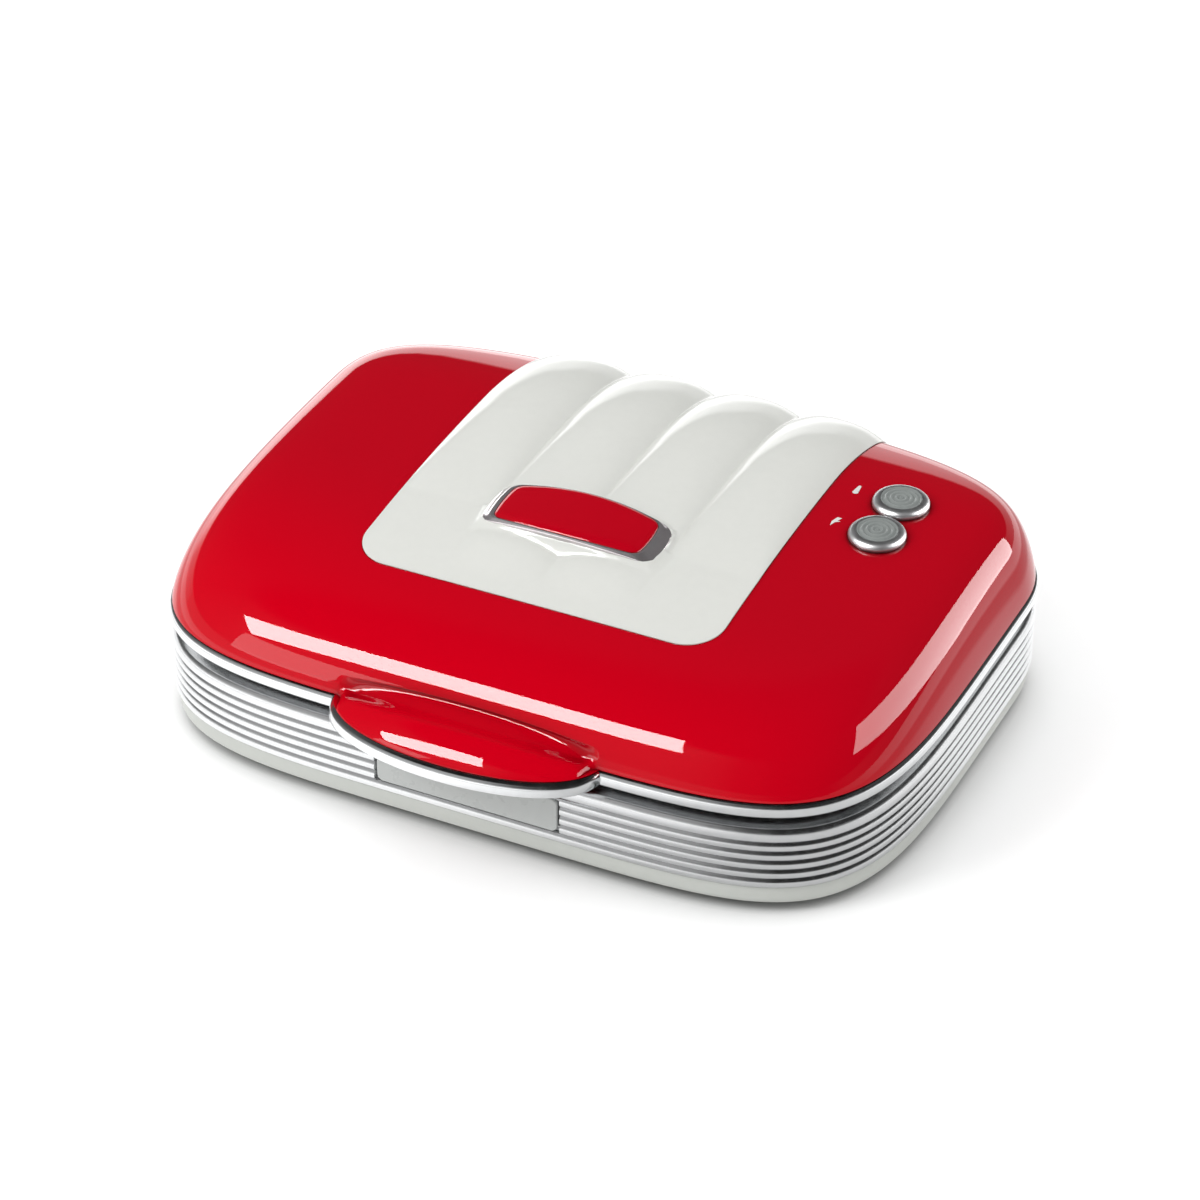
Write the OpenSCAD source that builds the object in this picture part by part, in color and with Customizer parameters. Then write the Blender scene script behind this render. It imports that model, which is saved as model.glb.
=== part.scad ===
// Waffle maker: a hinged lid on a ribbed base, two waffles side by side.
// The origin is on the table, under the middle of the whole object.
// +X is the right-hand side, -Y is the handle side, +Z is up.

/* [Body] */
// Width of the lid's painted edge
body_w = 250; // [236:1:262]
// Depth of the lid's painted edge, without handle and hinges
body_d = 187; // [180:1:196]
// Depth of the rounder back part of the outline
back_d = 55; // [50:1:62]
// Squareness of the front corners
front_square = 5.2; // [4.2:0.1:6]
// Squareness of the back corners
back_square = 2.8; // [2.6:0.1:3.4]
// Wall of the moulded covers
wall = 2.4; // [2:0.1:2.8]

/* [Heights] */
// Height of the rubber feet below the bottom cover
foot_h = 3; // [2.5:0.1:3]
// Top of the smooth band of the bottom cover
band_top = 9.7; // [9.2:0.1:10]
// Height at which the ribs end and the shoulder begins
rib_top = 26.3; // [26:0.1:27]
// Top of the base
base_top = 33.4; // [33:0.1:33.5]
// Height of the joint face between the two baking plates
parting_z = 34.4; // [34.3:0.05:34.6]
// Underside of the silver trim band of the lid
trim_z = 35.4; // [35.3:0.1:35.6]
// Height of the trim band
trim_h = 5.2; // [5:0.1:5.4]
// Rise of the lid's crown above its painted edge
crown_h = 28; // [27:0.5:29]
// How much lower the lid is at its front and back edges than at the crown
crown_fall = 13; // [12:0.5:14]

/* [Lid panel] */
// Width of the fluted panel
panel_w = 121; // [112:1:124]
// Distance of the panel's front edge ahead of the body's middle
panel_front = 53.5; // [51:0.5:56]
// Corner radius of the panel
panel_r = 12; // [8:1:14]
// Number of flutes
flutes = 4; // [3:1:5]
// Height of a flute above the lid's surface
flute_h = 3.8; // [3:0.1:4.2]

/* [Badge] */
// Width of the badge frame
badge_w = 57; // [54:1:60]
// Depth of the badge frame at its middle
badge_d = 23.4; // [22:0.1:24]
// How far each long side of the badge bows out
badge_bow = 2.5; // [1.5:0.1:3]
// Height of the badge at its middle
badge_h = 4.6; // [4.4:0.1:5]

/* [Handle] */
// Half the width of the handle lip
handle_half_w = 45; // [42:1:48]
// Reach of the handle lip in front of the painted edge
handle_out = 18.2; // [16:0.2:20]
// Height of the handle lip's root above the painted edge
handle_h = 6; // [5:0.5:7]

/* [Indicator lamps] */
// Outer radius of a lamp bezel
lamp_r = 9.5; // [9:0.1:9.8]
// Radius of the hole in the lid for a lamp
lamp_hole_r = 7.5; // [7:0.1:7.8]
// Distance of the lamps right of the middle
lamp_x = 85; // [82:0.5:88]
// Distance between the two lamps
lamp_pitch = 19.2; // [19.2:0.2:22]
// Distance of the front lamp behind the body's middle
lamp_y = 16; // [14:1:20]

/* [Baking plates] */
// Width of one waffle
waffle_w = 88; // [84:1:90]
// Depth of one waffle
waffle_d = 110; // [104:1:112]
// Depth of each half of the waffle mould
mould_depth = 10; // [9:0.5:10]
// Thickness of the plate's floor
plate_floor = 3; // [2.5:0.1:3]
// Height of the studs that make the waffle's pockets
stud_h = 7; // [6:0.5:7.5]
// Studs across one waffle
studs_x = 4; // [3:1:5]
// Studs along one waffle
studs_y = 5; // [4:1:6]

/* [Hinges] */
// Distance of each hinge from the middle
hinge_x = 62; // [60:1:64]
// Radius of the hinge pins
pin_r = 2; // [1.8:0.1:2.2]
// Distance of the hinge axis behind the painted edge
hinge_back = 6; // [6:0.5:7]
// Height of the hinge axis
hinge_z = 34.7; // [34.5:0.1:34.9]
// Outer radius of the hinge knuckles
knuckle_r = 4.6; // [4.4:0.1:4.6]

/* [Base parts] */
// Radius of the cord inlet bore
inlet_r = 3.6; // [3:0.1:4]
// Radius of a rubber foot
foot_r = 8; // [7:0.5:9]
// Half the width of the nameplate
nameplate_half_w = 30.5; // [28:0.5:33]

/* [Hidden] */

$fn = 48;
steps = 64;
gap = 0.2;
cut = 1;
edge_z = trim_z + trim_h;
trim_out = 1.2;
lip_trim_out = 2.6;
trim_bead_h = 3.8;
carrier_top = parting_z + 5;
knuckle_back = hinge_back + knuckle_r;
body_y = (handle_out + lip_trim_out - knuckle_back) / 2;
mid_y = body_y + body_d / 2 - back_d;
front_d = body_d - back_d;
axis_y = body_y + body_d / 2 + hinge_back;
edge_round = 19;
edge_blend = 1 / 1.2;

rib_count = 5;
rib_out = 0.7;
rib_depth = 0.7;

badge_y = body_y - 16.7;
badge_tilt = 5;
badge_arch = 3.2;
badge_end_r = 3;
shelf_h = 1.2;
flute_nose_y = body_y - 32;
flute_full_y = body_y + 30;

plate_w = 2 * waffle_w + 26;
plate_d = waffle_d + 16;
plate_r = 9;
plate_gap = 0.3;
flange = 6;
flange_z = 5;
flange_t = 2;
mould_offset = waffle_w / 2 + 5;
stud_gap = 6;
plate_back = mould_depth + plate_floor;

element_r = 3.25;
element_w = 140;
element_d = 84;
element_bend = 16;
terminal_r = 1.5;

lamp_neck = 4.6;
lens_r = 5.5;
neon_r = 1.9;

reflector_w = 176;
reflector_d = 104;
reflector_h = 8;
sheet_t = 0.8;

screw_r = 1.5;
screw_head_r = 2.9;
screw_head_h = 1.8;
screw_fit = 0.02;
boss_r = 4;
boss_x = 80;
boss_y = 77;
plate_screw_x = plate_w / 2 + 3.2;
plate_screw_y = 40;

ear_w = 6;
knuckle_half = 7.7;
ear_gap = 0.3;
pin_fit = 0.02;
knuckle_fit = 0.06;

lead_r = 1.1;
lead_bend = 5;
block_x = -14;
block_pitch = 8;
block_hole_z = parting_z - 0.2 - plate_back - element_r;

foot_x = 86;
foot_y = 62;
inlet_x = -38;
inlet_z = 18;
inlet_flange_r = 7.4;
inlet_slot_w = 12.4;

// Signed power, for rounded-square outlines
function spow(v, p) = sign(v) * pow(abs(v), p);

// Point of the body's outline at angle a, grown outwards by grow
function rim(a, grow) = let (
        back = sin(a) > 0,
        n = back ? back_square : front_square,
        d = back ? back_d : front_d)
    [(body_w / 2 + grow) * spow(cos(a), 2 / n), mid_y + (d + grow) * spow(sin(a), 2 / n)];

function outline(grow) = [for (i = [0:steps - 1]) rim(i * 360 / steps, grow)];

// Relative distance of a place from the lid's middle: 0 there, 1 on the outline
function reach(x, y) = let (
        back = y > mid_y,
        n = back ? back_square : front_square,
        d = back ? back_d : front_d)
    pow(pow(abs(2 * x / body_w), n) + pow(abs(y - mid_y) / d, n), 1 / n);

// Height of the lid's smooth surface above its painted edge
function swell(x, y) = let (d = y > mid_y ? back_d : front_d)
    (crown_h - pow(2 * x / body_w, 2) - crown_fall * pow((y - mid_y) / d, 2))
    * pow(max(1 - pow(min(reach(x, y), 1), edge_round), 0), edge_blend);

function lid_z(x, y) = edge_z + swell(x, y);

// One ring of lid surface points, at the share r of the outline, sunk by inset
function lid_ring(r, inset) = [for (p = outline(0)) let (
        x = p[0] * r,
        y = mid_y + (p[1] - mid_y) * r,
        k = 1 - inset / (body_w / 2))
    [x * k, mid_y + (y - mid_y) * k, max(lid_z(x, y) - (r < 1 ? inset : 0), edge_z)]];

// Y on the back of the lid where the reach is r, for a given x
function back_y(x, r) = mid_y
    + back_d * pow(pow(r, back_square) - pow(abs(2 * x / body_w), back_square), 1 / back_square);

// Smooth step from 0 at a to 1 at b
function ease(v, a, b) = let (t = min(max((v - a) / (b - a), 0), 1)) t * t * (3 - 2 * t);

// Height of the flutes at a place of the panel
function flute(x, y) = let (
        pitch = panel_w / flutes,
        place = (x + panel_w / 2) / pitch,
        across = 2 * (place - floor(min(place, flutes - 0.001))) - 1,
        middle = abs(x) < badge_w / 2 - 3,
        nose = middle ? ease(y, flute_nose_y, flute_nose_y + 6) * 0.35 : 0)
    flute_h * (1 - pow(abs(across), 2.4)) * max(nose, ease(y, badge_y, flute_full_y));

// Closed skin through rings of equal length, from one pole to the other
module pole_skin(rings, first, last) {
    n = len(rings[0]);
    m = len(rings);
    points = concat([first], [for (r = rings) for (p = r) p], [last]);
    polyhedron(points, concat(
        [for (i = [0:n - 1]) [0, 1 + (i + 1) % n, 1 + i]],
        [for (j = [0:m - 2]) for (i = [0:n - 1]) let (k = 1 + j * n, l = (i + 1) % n) each
            [[k + i, k + l, k + n + l], [k + i, k + n + l, k + n + i]]],
        [for (i = [0:n - 1]) let (k = 1 + (m - 1) * n) [k + i, k + (i + 1) % n, 1 + m * n]]));
}

// Closed ring round the body, from a section of [grow, z] points
module band(section) {
    n = steps;
    m = len(section);
    points = [for (s = section) for (p = outline(s[0])) [p[0], p[1], s[1]]];
    polyhedron(points, [for (j = [0:m - 1]) for (i = [0:n - 1]) let (
            a = j * n,
            b = ((j + 1) % m) * n,
            l = (i + 1) % n) each
        [[a + i, a + l, b + l], [a + i, b + l, b + i]]]);
}

// Closed sheet between two grids of points that have the same rows and columns
module sheet(top, under) {
    rows = len(top);
    cols = len(top[0]);
    size = rows * cols;
    points = concat([for (r = top) for (p = r) p], [for (r = under) for (p = r) p]);
    border = concat([for (c = [0:cols - 1]) c],
        [for (r = [1:rows - 1]) r * cols + cols - 1],
        [for (c = [cols - 2:-1:0]) (rows - 1) * cols + c],
        [for (r = [rows - 2:-1:1]) r * cols]);
    polyhedron(points, concat(
        [for (r = [0:rows - 2]) for (c = [0:cols - 2]) let (k = r * cols + c) each
            [[k, k + cols, k + cols + 1], [k, k + cols + 1, k + 1]]],
        [for (r = [0:rows - 2]) for (c = [0:cols - 2]) let (k = size + r * cols + c) each
            [[k, k + cols + 1, k + cols], [k, k + 1, k + cols + 1]]],
        [for (i = [0:len(border) - 1]) let (a = border[i], b = border[(i + 1) % len(border)]) each
            [[a, b, b + size], [a, b + size, a + size]]]));
}

// Flat rounded rectangle, centred
module round_rect(w, d, r) {
    square([w - 2 * r, d], center = true);
    square([w, d - 2 * r], center = true);
    for (x = [-1, 1], y = [-1, 1]) translate([x * (w / 2 - r), y * (d / 2 - r)]) circle(r);
}

// Ring of the body's outline between two growths
module outline_ring(outer, inner) {
    difference() {
        polygon(outline(outer));
        polygon(outline(inner));
    }
}

// The handle lip seen from above, grown outwards by grow
module lip_outline(grow) {
    root = body_y - body_d / 2 + 10;
    polygon([for (i = [0:32]) let (a = 180 + i * 180 / 32)
        [(handle_half_w + grow) * cos(a), root + (handle_out + 10 + grow) * spow(sin(a), 0.68)]]);
}

// Upright pieces at the four corners of a rectangle
module at_corners(x, y_front, y_back) {
    for (side = [-1, 1]) {
        translate([side * x, body_y - y_front, 0]) children();
        translate([side * x, body_y + y_back, 0]) children();
    }
}

// Place of an indicator lamp, square to the lid's surface
module at_lamp(place) {
    x = lamp_x;
    y = body_y + lamp_y + place * lamp_pitch;
    slope_x = (lid_z(x + 1, y) - lid_z(x - 1, y)) / 2;
    slope_y = (lid_z(x, y + 1) - lid_z(x, y - 1)) / 2;
    translate([x, y, lid_z(x, y)]) rotate([atan(slope_y), -atan(slope_x), 0]) children();
}

module panel_outline(grow) {
    w = panel_w + 2 * grow;
    d = body_d;
    translate([0, body_y - panel_front - grow + d / 2]) round_rect(w, d, panel_r);
}

// ---- Lid ----

panel_low = edge_z + 5;

inner_reach = [1, 0.99, 0.965, 0.92, 0.84, 0.6, 0.3];

module lid_shell() {
    outer = [for (r = [0.3, 0.55, 0.75, 0.86, 0.92, 0.955, 0.978, 0.991, 0.998, 1]) lid_ring(r, 0)];
    top = [0, mid_y, lid_z(0, mid_y)];
    color([0.8, 0.02, 0.06]) difference() {
        union() {
            pole_skin(concat(outer, [for (r = inner_reach) lid_ring(r, wall)]), top, top - [0, 0, wall]);
            lip();
            intersection() {
                at_corners(boss_x, boss_y + 1, boss_y) translate([0, 0, edge_z])
                    cylinder(r = boss_r, h = crown_h);
                pole_skin([for (i = [6:-1:0]) lid_ring(inner_reach[i], wall / 2)],
                    top - [0, 0, wall / 2], [0, mid_y, edge_z]);
            }
            at_corners(boss_x, boss_y + 1, boss_y) translate([0, 0, carrier_top + 0.1])
                cylinder(r = boss_r, h = edge_z - carrier_top + cut);
        }
        translate([0, 0, panel_low - gap]) linear_extrude(60) panel_outline(gap);
        for (place = [0, 1]) at_lamp(place) translate([0, 0, -8]) cylinder(r = lamp_hole_r, h = 16);
        at_corners(boss_x, boss_y + 1, boss_y) translate([0, 0, carrier_top])
            cylinder(r = screw_r + screw_fit, h = 9);
    }
}

// Painted finger lip with a shallow scoop along its top
module lip() {
    scoop_r = 30;
    difference() {
        translate([0, 0, edge_z]) linear_extrude(handle_h) lip_outline(0);
        translate([0, 0, edge_z - cut]) linear_extrude(handle_h + 2 * cut) polygon(outline(-wall));
        translate([0, body_y - body_d / 2 - 7, edge_z + 3.4 + scoop_r]) rotate([0, 90, 0])
            cylinder(r = scoop_r, h = 2 * handle_half_w, center = true, $fn = 96);
    }
}

module lid_panel() {
    columns = 32;
    along = 12;
    back_reach = [0.8, 0.86, 0.9, 0.93, 0.955, 0.972, 0.984, 0.992];
    xs = [for (i = [0:columns]) (i / columns - 0.5) * panel_w];
    function front_y(x) = let (over = max(abs(x) - panel_w / 2 + panel_r, 0))
        body_y - panel_front + panel_r - sqrt(panel_r * panel_r - over * over);
    function lean(r) = 84 * ease(r, 0.86, 0.992);
    function skin(x, y, sink) = let (
            a = lean(reach(x, y)),
            f = shelf(x, y) - sink)
        [x, y + f * sin(a), max(lid_z(x, y) + f * cos(a), panel_low)];
    function grid(sink) = concat(
        [for (j = [0:along - 1]) [for (x = xs)
            skin(x, front_y(x) + (back_y(x, back_reach[0]) - front_y(x)) * j / along, sink)]],
        [for (r = back_reach) [for (x = xs) skin(x, back_y(x, r), sink)]]);
    color([0.86, 0.87, 0.84]) sheet(grid(0), grid(wall - 0.2));
}

// Flutes, with a flat shelf where the badge sits
function shelf(x, y) = abs(x) < badge_w / 2 && abs(y - badge_y) < badge_d / 2 + 1
    ? shelf_h : flute(x, y);

module on_badge_shelf() {
    translate([0, badge_y, lid_z(0, badge_y) + shelf_h + 0.3]) rotate([badge_tilt, 0, 0]) children();
}

// Badge seen from above: straight ends with rounded corners, long sides bowed out
module badge_outline(w, d) {
    bow_r = (w * w / 4 + badge_bow * badge_bow) / (2 * badge_bow);
    offset(r = badge_end_r) offset(delta = -badge_end_r) intersection() {
        square([w, d], center = true);
        for (side = [-1, 1]) translate([0, side * (bow_r - d / 2)]) circle(bow_r, $fn = 200);
    }
}

// Block under an arched top that is badge_h high at the middle
module badge_block(w, d, up) {
    arch_r = (badge_w * badge_w / 4 + badge_arch * badge_arch) / (2 * badge_arch);
    intersection() {
        linear_extrude(badge_h + up) badge_outline(w, d);
        translate([0, 0, badge_h + up - arch_r]) rotate([90, 0, 0])
            cylinder(r = arch_r, h = 2 * badge_d, center = true, $fn = 200);
    }
}

module badge_frame() {
    color([0.8, 0.8, 0.82]) on_badge_shelf() difference() {
        badge_block(badge_w, badge_d, 0);
        translate([0, 0, -cut]) linear_extrude(badge_h + 2 * cut) badge_outline(badge_w - 7, badge_d - 2);
    }
}

module badge_plate() {
    color([0.8, 0.02, 0.06]) on_badge_shelf() badge_block(badge_w - 7.4, badge_d - 2.4, 0.4);
}

// Rounded bead with a narrower neck above it, which leaves a shadow groove under the paint
module lid_trim() {
    color([0.75, 0.76, 0.78]) difference() {
        union() {
            for (step = [[0.6, 0, 0.6], [0, 0.6, trim_bead_h - 1.2], [0.6, trim_bead_h - 0.6, 0.6],
                [1.9, trim_bead_h, trim_h - trim_bead_h]])
                translate([0, 0, trim_z + step[1]]) linear_extrude(step[2]) {
                    polygon(outline(trim_out - step[0]));
                    lip_outline(lip_trim_out - step[0]);
                }
        }
        translate([0, 0, trim_z - cut]) linear_extrude(trim_h + 2 * cut) polygon(outline(-wall - 0.6));
    }
}

module lid_carrier() {
    z = parting_z + 0.65;
    color([0.1, 0.1, 0.11]) difference() {
        union() {
            translate([0, 0, z]) linear_extrude(carrier_top - z) difference() {
                polygon(outline(-wall - 0.8));
                translate([0, body_y]) round_rect(plate_w + 2 * plate_gap, plate_d + 2 * plate_gap, plate_r);
            }
            for (side = [-1, 1]) lid_hinge_arm(side);
        }
        for (side = [-1, 1]) translate([side * hinge_x, axis_y, hinge_z]) rotate([0, 90, 0])
            cylinder(r = pin_r + knuckle_fit, h = 4 * knuckle_half, center = true);
        at_corners(boss_x, boss_y + 1, boss_y) translate([0, 0, z - cut]) {
            cylinder(r = screw_r + gap, h = 10);
            cylinder(r = screw_head_r + gap, h = screw_head_h + gap + cut);
        }
        at_corners(plate_screw_x, plate_screw_y, plate_screw_y) translate([0, 0, z + 1])
            cylinder(r = screw_r + screw_fit, h = 10);
    }
}

module lid_hinge_arm(side) {
    arm_z = base_top + 0.45;
    arm_back = body_y + body_d / 2 - 14;
    translate([side * hinge_x, 0, 0]) {
        translate([0, axis_y, hinge_z]) rotate([0, 90, 0])
            cylinder(r = knuckle_r, h = 2 * knuckle_half, center = true);
        translate([-knuckle_half, arm_back, arm_z])
            cube([2 * knuckle_half, axis_y - arm_back, trim_z - 0.15 - arm_z]);
        translate([-knuckle_half, arm_back + 9, arm_z - 2.5])
            cube([2 * knuckle_half, axis_y - arm_back - 9, 3]);
    }
}

// ---- Baking plates and heaters, drawn upwards from the joint face ----

module baking_plate() {
    stud_w = (waffle_w - (studs_x + 1) * stud_gap) / studs_x;
    stud_d = (waffle_d - (studs_y + 1) * stud_gap) / studs_y;
    difference() {
        union() {
            translate([0, body_y, 0]) linear_extrude(plate_back) round_rect(plate_w, plate_d, plate_r);
            translate([0, body_y, flange_z]) linear_extrude(flange_t)
                round_rect(plate_w + 2 * flange, plate_d + 2 * flange, plate_r + flange);
        }
        for (side = [-1, 1]) translate([side * mould_offset, body_y, -cut])
            linear_extrude(mould_depth + cut) round_rect(waffle_w, waffle_d, 6);
        at_corners(plate_screw_x, plate_screw_y, plate_screw_y) translate([0, 0, flange_z - cut])
            cylinder(r = screw_r + gap, h = flange_t + 2 * cut);
    }
    for (side = [-1, 1], i = [0:studs_x - 1], j = [0:studs_y - 1])
        translate([side * mould_offset + (i - (studs_x - 1) / 2) * (stud_w + stud_gap),
            body_y + (j - (studs_y - 1) / 2) * (stud_d + stud_gap), mould_depth - stud_h])
            stud(stud_w, stud_d);
}

// One tapered stud, with its narrow end at the bottom
module stud(w, d) {
    taper = 1.6;
    h = stud_h + 0.2;
    function corners(in, z) = [for (c = [[-1, -1], [1, -1], [1, 1], [-1, 1]])
        [c[0] * (w / 2 - in), c[1] * (d / 2 - in), z]];
    polyhedron(concat(corners(taper, 0), corners(0, h)),
        [[0, 1, 2, 3], [7, 6, 5, 4], [0, 4, 5, 1], [1, 5, 6, 2], [2, 6, 7, 3], [3, 7, 4, 0]]);
}

module upper_plate() {
    color([0.2, 0.2, 0.21]) translate([0, 0, parting_z + 0.15]) baking_plate();
}

module lower_plate() {
    color([0.2, 0.2, 0.21]) translate([0, 0, parting_z - 0.15]) mirror([0, 0, 1]) baking_plate();
}

// Bent tube heater, open at the back, with two terminal pins
module heating_element() {
    z = plate_back + element_r + 0.05;
    hw = element_w / 2;
    hd = element_d / 2;
    translate([0, body_y, z]) {
        translate([0, -hd, 0]) rotate([0, 90, 0])
            cylinder(r = element_r, h = element_w - 2 * element_bend, center = true);
        for (side = [-1, 1]) {
            translate([side * (hw - element_bend), -hd + element_bend, 0])
                rotate([0, 0, side > 0 ? -90 : 180]) rotate_extrude(angle = 90)
                translate([element_bend, 0]) circle(element_r);
            translate([side * hw, -hd + element_bend, 0]) rotate([-90, 0, 0])
                cylinder(r = element_r, h = element_d - element_bend);
            translate([side * hw, hd, 0]) rotate([-90, 0, 0]) cylinder(r = terminal_r, h = 7);
        }
    }
}

module upper_element() {
    color([0.55, 0.55, 0.56]) translate([0, 0, parting_z + 0.15]) heating_element();
}

module lower_element() {
    color([0.55, 0.55, 0.56]) translate([0, 0, parting_z - 0.15]) mirror([0, 0, 1]) heating_element();
}

// Sheet-metal box that keeps the heat on the plate
module heat_box() {
    z = plate_back + 0.05;
    translate([-reflector_w / 2, body_y - reflector_d / 2, z]) difference() {
        cube([reflector_w, reflector_d, reflector_h]);
        translate([sheet_t, sheet_t, -cut])
            cube([reflector_w - 2 * sheet_t, reflector_d - 2 * sheet_t, reflector_h - sheet_t + cut]);
        for (side = [-1, 1]) translate([reflector_w / 2 + side * element_w / 2 - 5, reflector_d - 2, -cut])
            cube([10, 4, 6.5]);
    }
}

module upper_reflector() {
    color([0.8, 0.8, 0.8]) translate([0, 0, parting_z + 0.15]) heat_box();
}

module lower_reflector() {
    color([0.8, 0.8, 0.8]) translate([0, 0, parting_z - 0.15]) mirror([0, 0, 1]) heat_box();
}

// ---- Controls ----

module thermostat() {
    z = parting_z + 0.2 + plate_back;
    color([0.85, 0.82, 0.75]) translate([0, body_y, z]) {
        cylinder(r = 11, h = 1);
        cylinder(r = 8, h = 6);
        for (side = [-1, 1]) translate([side * 9 - 3, -2, 4]) cube([6, 4, 0.8]);
    }
}

module thermal_fuse() {
    z = parting_z + 0.2 + plate_back;
    color([0.9, 0.9, 0.85]) translate([0, body_y + 25, z]) {
        translate([0, 0, 2.4]) rotate([0, 90, 0]) cylinder(r = 2, h = 22, center = true);
        difference() {
            translate([-4, -3.4, 0]) cube([8, 6.8, 5.2]);
            translate([-4 - cut, -2.6, -cut]) cube([8 + 2 * cut, 5.2, 5.4]);
        }
    }
}

// Domed bezel with a neck through the lid
module lamp_bezel() {
    color([0.7, 0.7, 0.72]) difference() {
        rotate_extrude() polygon([[0, 0.1], [lamp_r, 0.1], [lamp_r, 0.9], [lamp_r - 0.8, 2.1],
            [lamp_r - 2.2, 2.9], [lamp_r - 3, 3], [0, 3]]);
        translate([0, 0, -cut]) cylinder(r = lens_r + 0.1, h = 8);
    }
    color([0.7, 0.7, 0.72]) translate([0, 0, -lamp_neck]) difference() {
        cylinder(r = lamp_hole_r - 0.1, h = lamp_neck + 0.2);
        translate([0, 0, -cut]) cylinder(r = lens_r + 0.1, h = lamp_neck + 3);
    }
}

module lamp_lens() {
    color([0.62, 0.65, 0.64]) translate([0, 0, -4]) {
        cylinder(r = lens_r, h = 6.6);
        translate([0, 0, 6.6]) cylinder(r = 3.4, h = 0.3);
    }
}

module neon_lamp() {
    color([0.95, 0.8, 0.7]) translate([0, 0, -8.6]) cylinder(r = neon_r, h = 4.4);
}

module power_lamp_bezel() { at_lamp(0) lamp_bezel(); }

module ready_lamp_bezel() { at_lamp(1) lamp_bezel(); }

module power_lamp_lens() { at_lamp(0) lamp_lens(); }

module ready_lamp_lens() { at_lamp(1) lamp_lens(); }

module power_neon_lamp() { at_lamp(0) neon_lamp(); }

module ready_neon_lamp() { at_lamp(1) neon_lamp(); }

// Strip under the lid that carries both neon lamps
module lamp_holder() {
    y = body_y + lamp_y + lamp_pitch / 2;
    z = lid_z(lamp_x, y);
    color([0.2, 0.2, 0.2]) difference() {
        translate([lamp_x - 8.6, y - 20, z - 8.4]) cube([17.2, 40, 1.8]);
        for (place = [0, 1]) at_lamp(place) translate([0, 0, -12]) cylinder(r = neon_r + 0.1, h = 10);
    }
}

// ---- Fasteners ----

module screw(length) {
    translate([0, 0, -screw_head_h]) cylinder(r = screw_head_r, h = screw_head_h);
    translate([0, 0, -0.05]) cylinder(r = screw_r, h = length);
}

module lid_screws() {
    color([0.6, 0.6, 0.62]) at_corners(boss_x, boss_y + 1, boss_y)
        translate([0, 0, parting_z + 0.65 + screw_head_h + 0.1]) screw(9);
}

module upper_plate_screws() {
    color([0.6, 0.6, 0.62]) at_corners(plate_screw_x, plate_screw_y, plate_screw_y)
        translate([0, 0, parting_z + 0.2 + flange_z + flange_t]) mirror([0, 0, 1]) screw(5);
}

module lower_plate_screws() {
    color([0.6, 0.6, 0.62]) at_corners(plate_screw_x, plate_screw_y, plate_screw_y)
        translate([0, 0, parting_z - 0.2 - flange_z - flange_t]) screw(5);
}

module base_screws() {
    color([0.6, 0.6, 0.62]) at_corners(boss_x, boss_y + 1, boss_y)
        translate([0, 0, foot_h + 6]) screw(base_top - foot_h - 7.6);
}

// ---- Leads ----

// Round lead that stays level, swept along its route
module lead(route, z) {
    n = len(route);
    function way(i) = let (v = route[min(i + 1, n - 1)] - route[max(i - 1, 0)]) v / norm(v);
    rings = [for (i = [0:n - 1]) let (t = way(i)) [for (k = [0:7]) let (a = k * 45)
        [route[i][0] - t[1] * lead_r * cos(a), route[i][1] + t[0] * lead_r * cos(a), z - lead_r * sin(a)]]];
    pole_skin(rings, concat(route[0], z), concat(route[n - 1], z));
}

// From a heater terminal back and round a bend of radius r, then across to end_x and on to end_y
function lead_route(side, end_x, end_y) = let (
        x = side * element_w / 2,
        y = body_y + element_d / 2 + 8,
        turn = end_x > x ? 1 : -1,
        r = lead_bend)
    concat([[x, y]],
        [for (a = [0:30:90]) [x + turn * r * (1 - cos(a)), y + 3 + r * sin(a)]],
        [for (a = [90:-30:0]) [end_x - turn * r * (1 - cos(a)), y + 3 + 2 * r - r * sin(a)]],
        [[end_x, end_y]]);

module lid_leads() {
    z = parting_z + 0.2 + plate_back + element_r;
    color([0.75, 0.7, 0.6]) for (side = [-1, 1]) lead(lead_route(side, side * 8, body_y + 68), z);
}

module base_leads() {
    color([0.75, 0.7, 0.6]) for (side = [-1, 1])
        lead(lead_route(side, block_x + side * block_pitch, body_y + 70), block_hole_z);
}

// ---- Base ----

module base_shell() {
    pitch = (rib_top - band_top) / rib_count;
    valley = rib_out - rib_depth;
    ribs = [for (i = [0:rib_count - 1]) let (z = band_top + pitch * i) each
        [[valley, z], [rib_out, z + pitch * 0.3], [rib_out, z + pitch * 0.7]]];
    outer = concat(ribs, [[valley, rib_top], [rib_out, rib_top + 1], [rib_out - 0.3, rib_top + 3],
        [rib_out - 1.6, rib_top + 5.2], [-3.8, base_top - 0.5], [-6.5, base_top]]);
    inner = [[-6.5, base_top - 2], [-4.8, base_top - 3.2], [-2.8, rib_top + 0.5], [valley - wall, band_top]];
    hinge_half = knuckle_half + ear_gap + ear_w + 0.3;
    color([0.78, 0.79, 0.8]) difference() {
        band(concat(outer, inner));
        translate([inlet_x - inlet_slot_w / 2, body_y + body_d / 2 - 14, band_top - cut])
            cube([inlet_slot_w, 20, inlet_z + inlet_slot_w / 2 - band_top + cut]);
        for (side = [-1, 1]) translate([side * hinge_x - hinge_half, body_y + body_d / 2 - 16, base_top - 4.6])
            cube([2 * hinge_half, 20, 10]);
        nameplate_seat(0.15);
    }
}

// Place of the cord inlet just outside the ribs of the back wall, with +Z pointing out of the wall
module on_inlet() {
    y = back_y(inlet_x + inlet_flange_r, 1) + rib_out;
    translate([inlet_x, y, inlet_z]) rotate([-90, 0, 0]) children();
}

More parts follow.
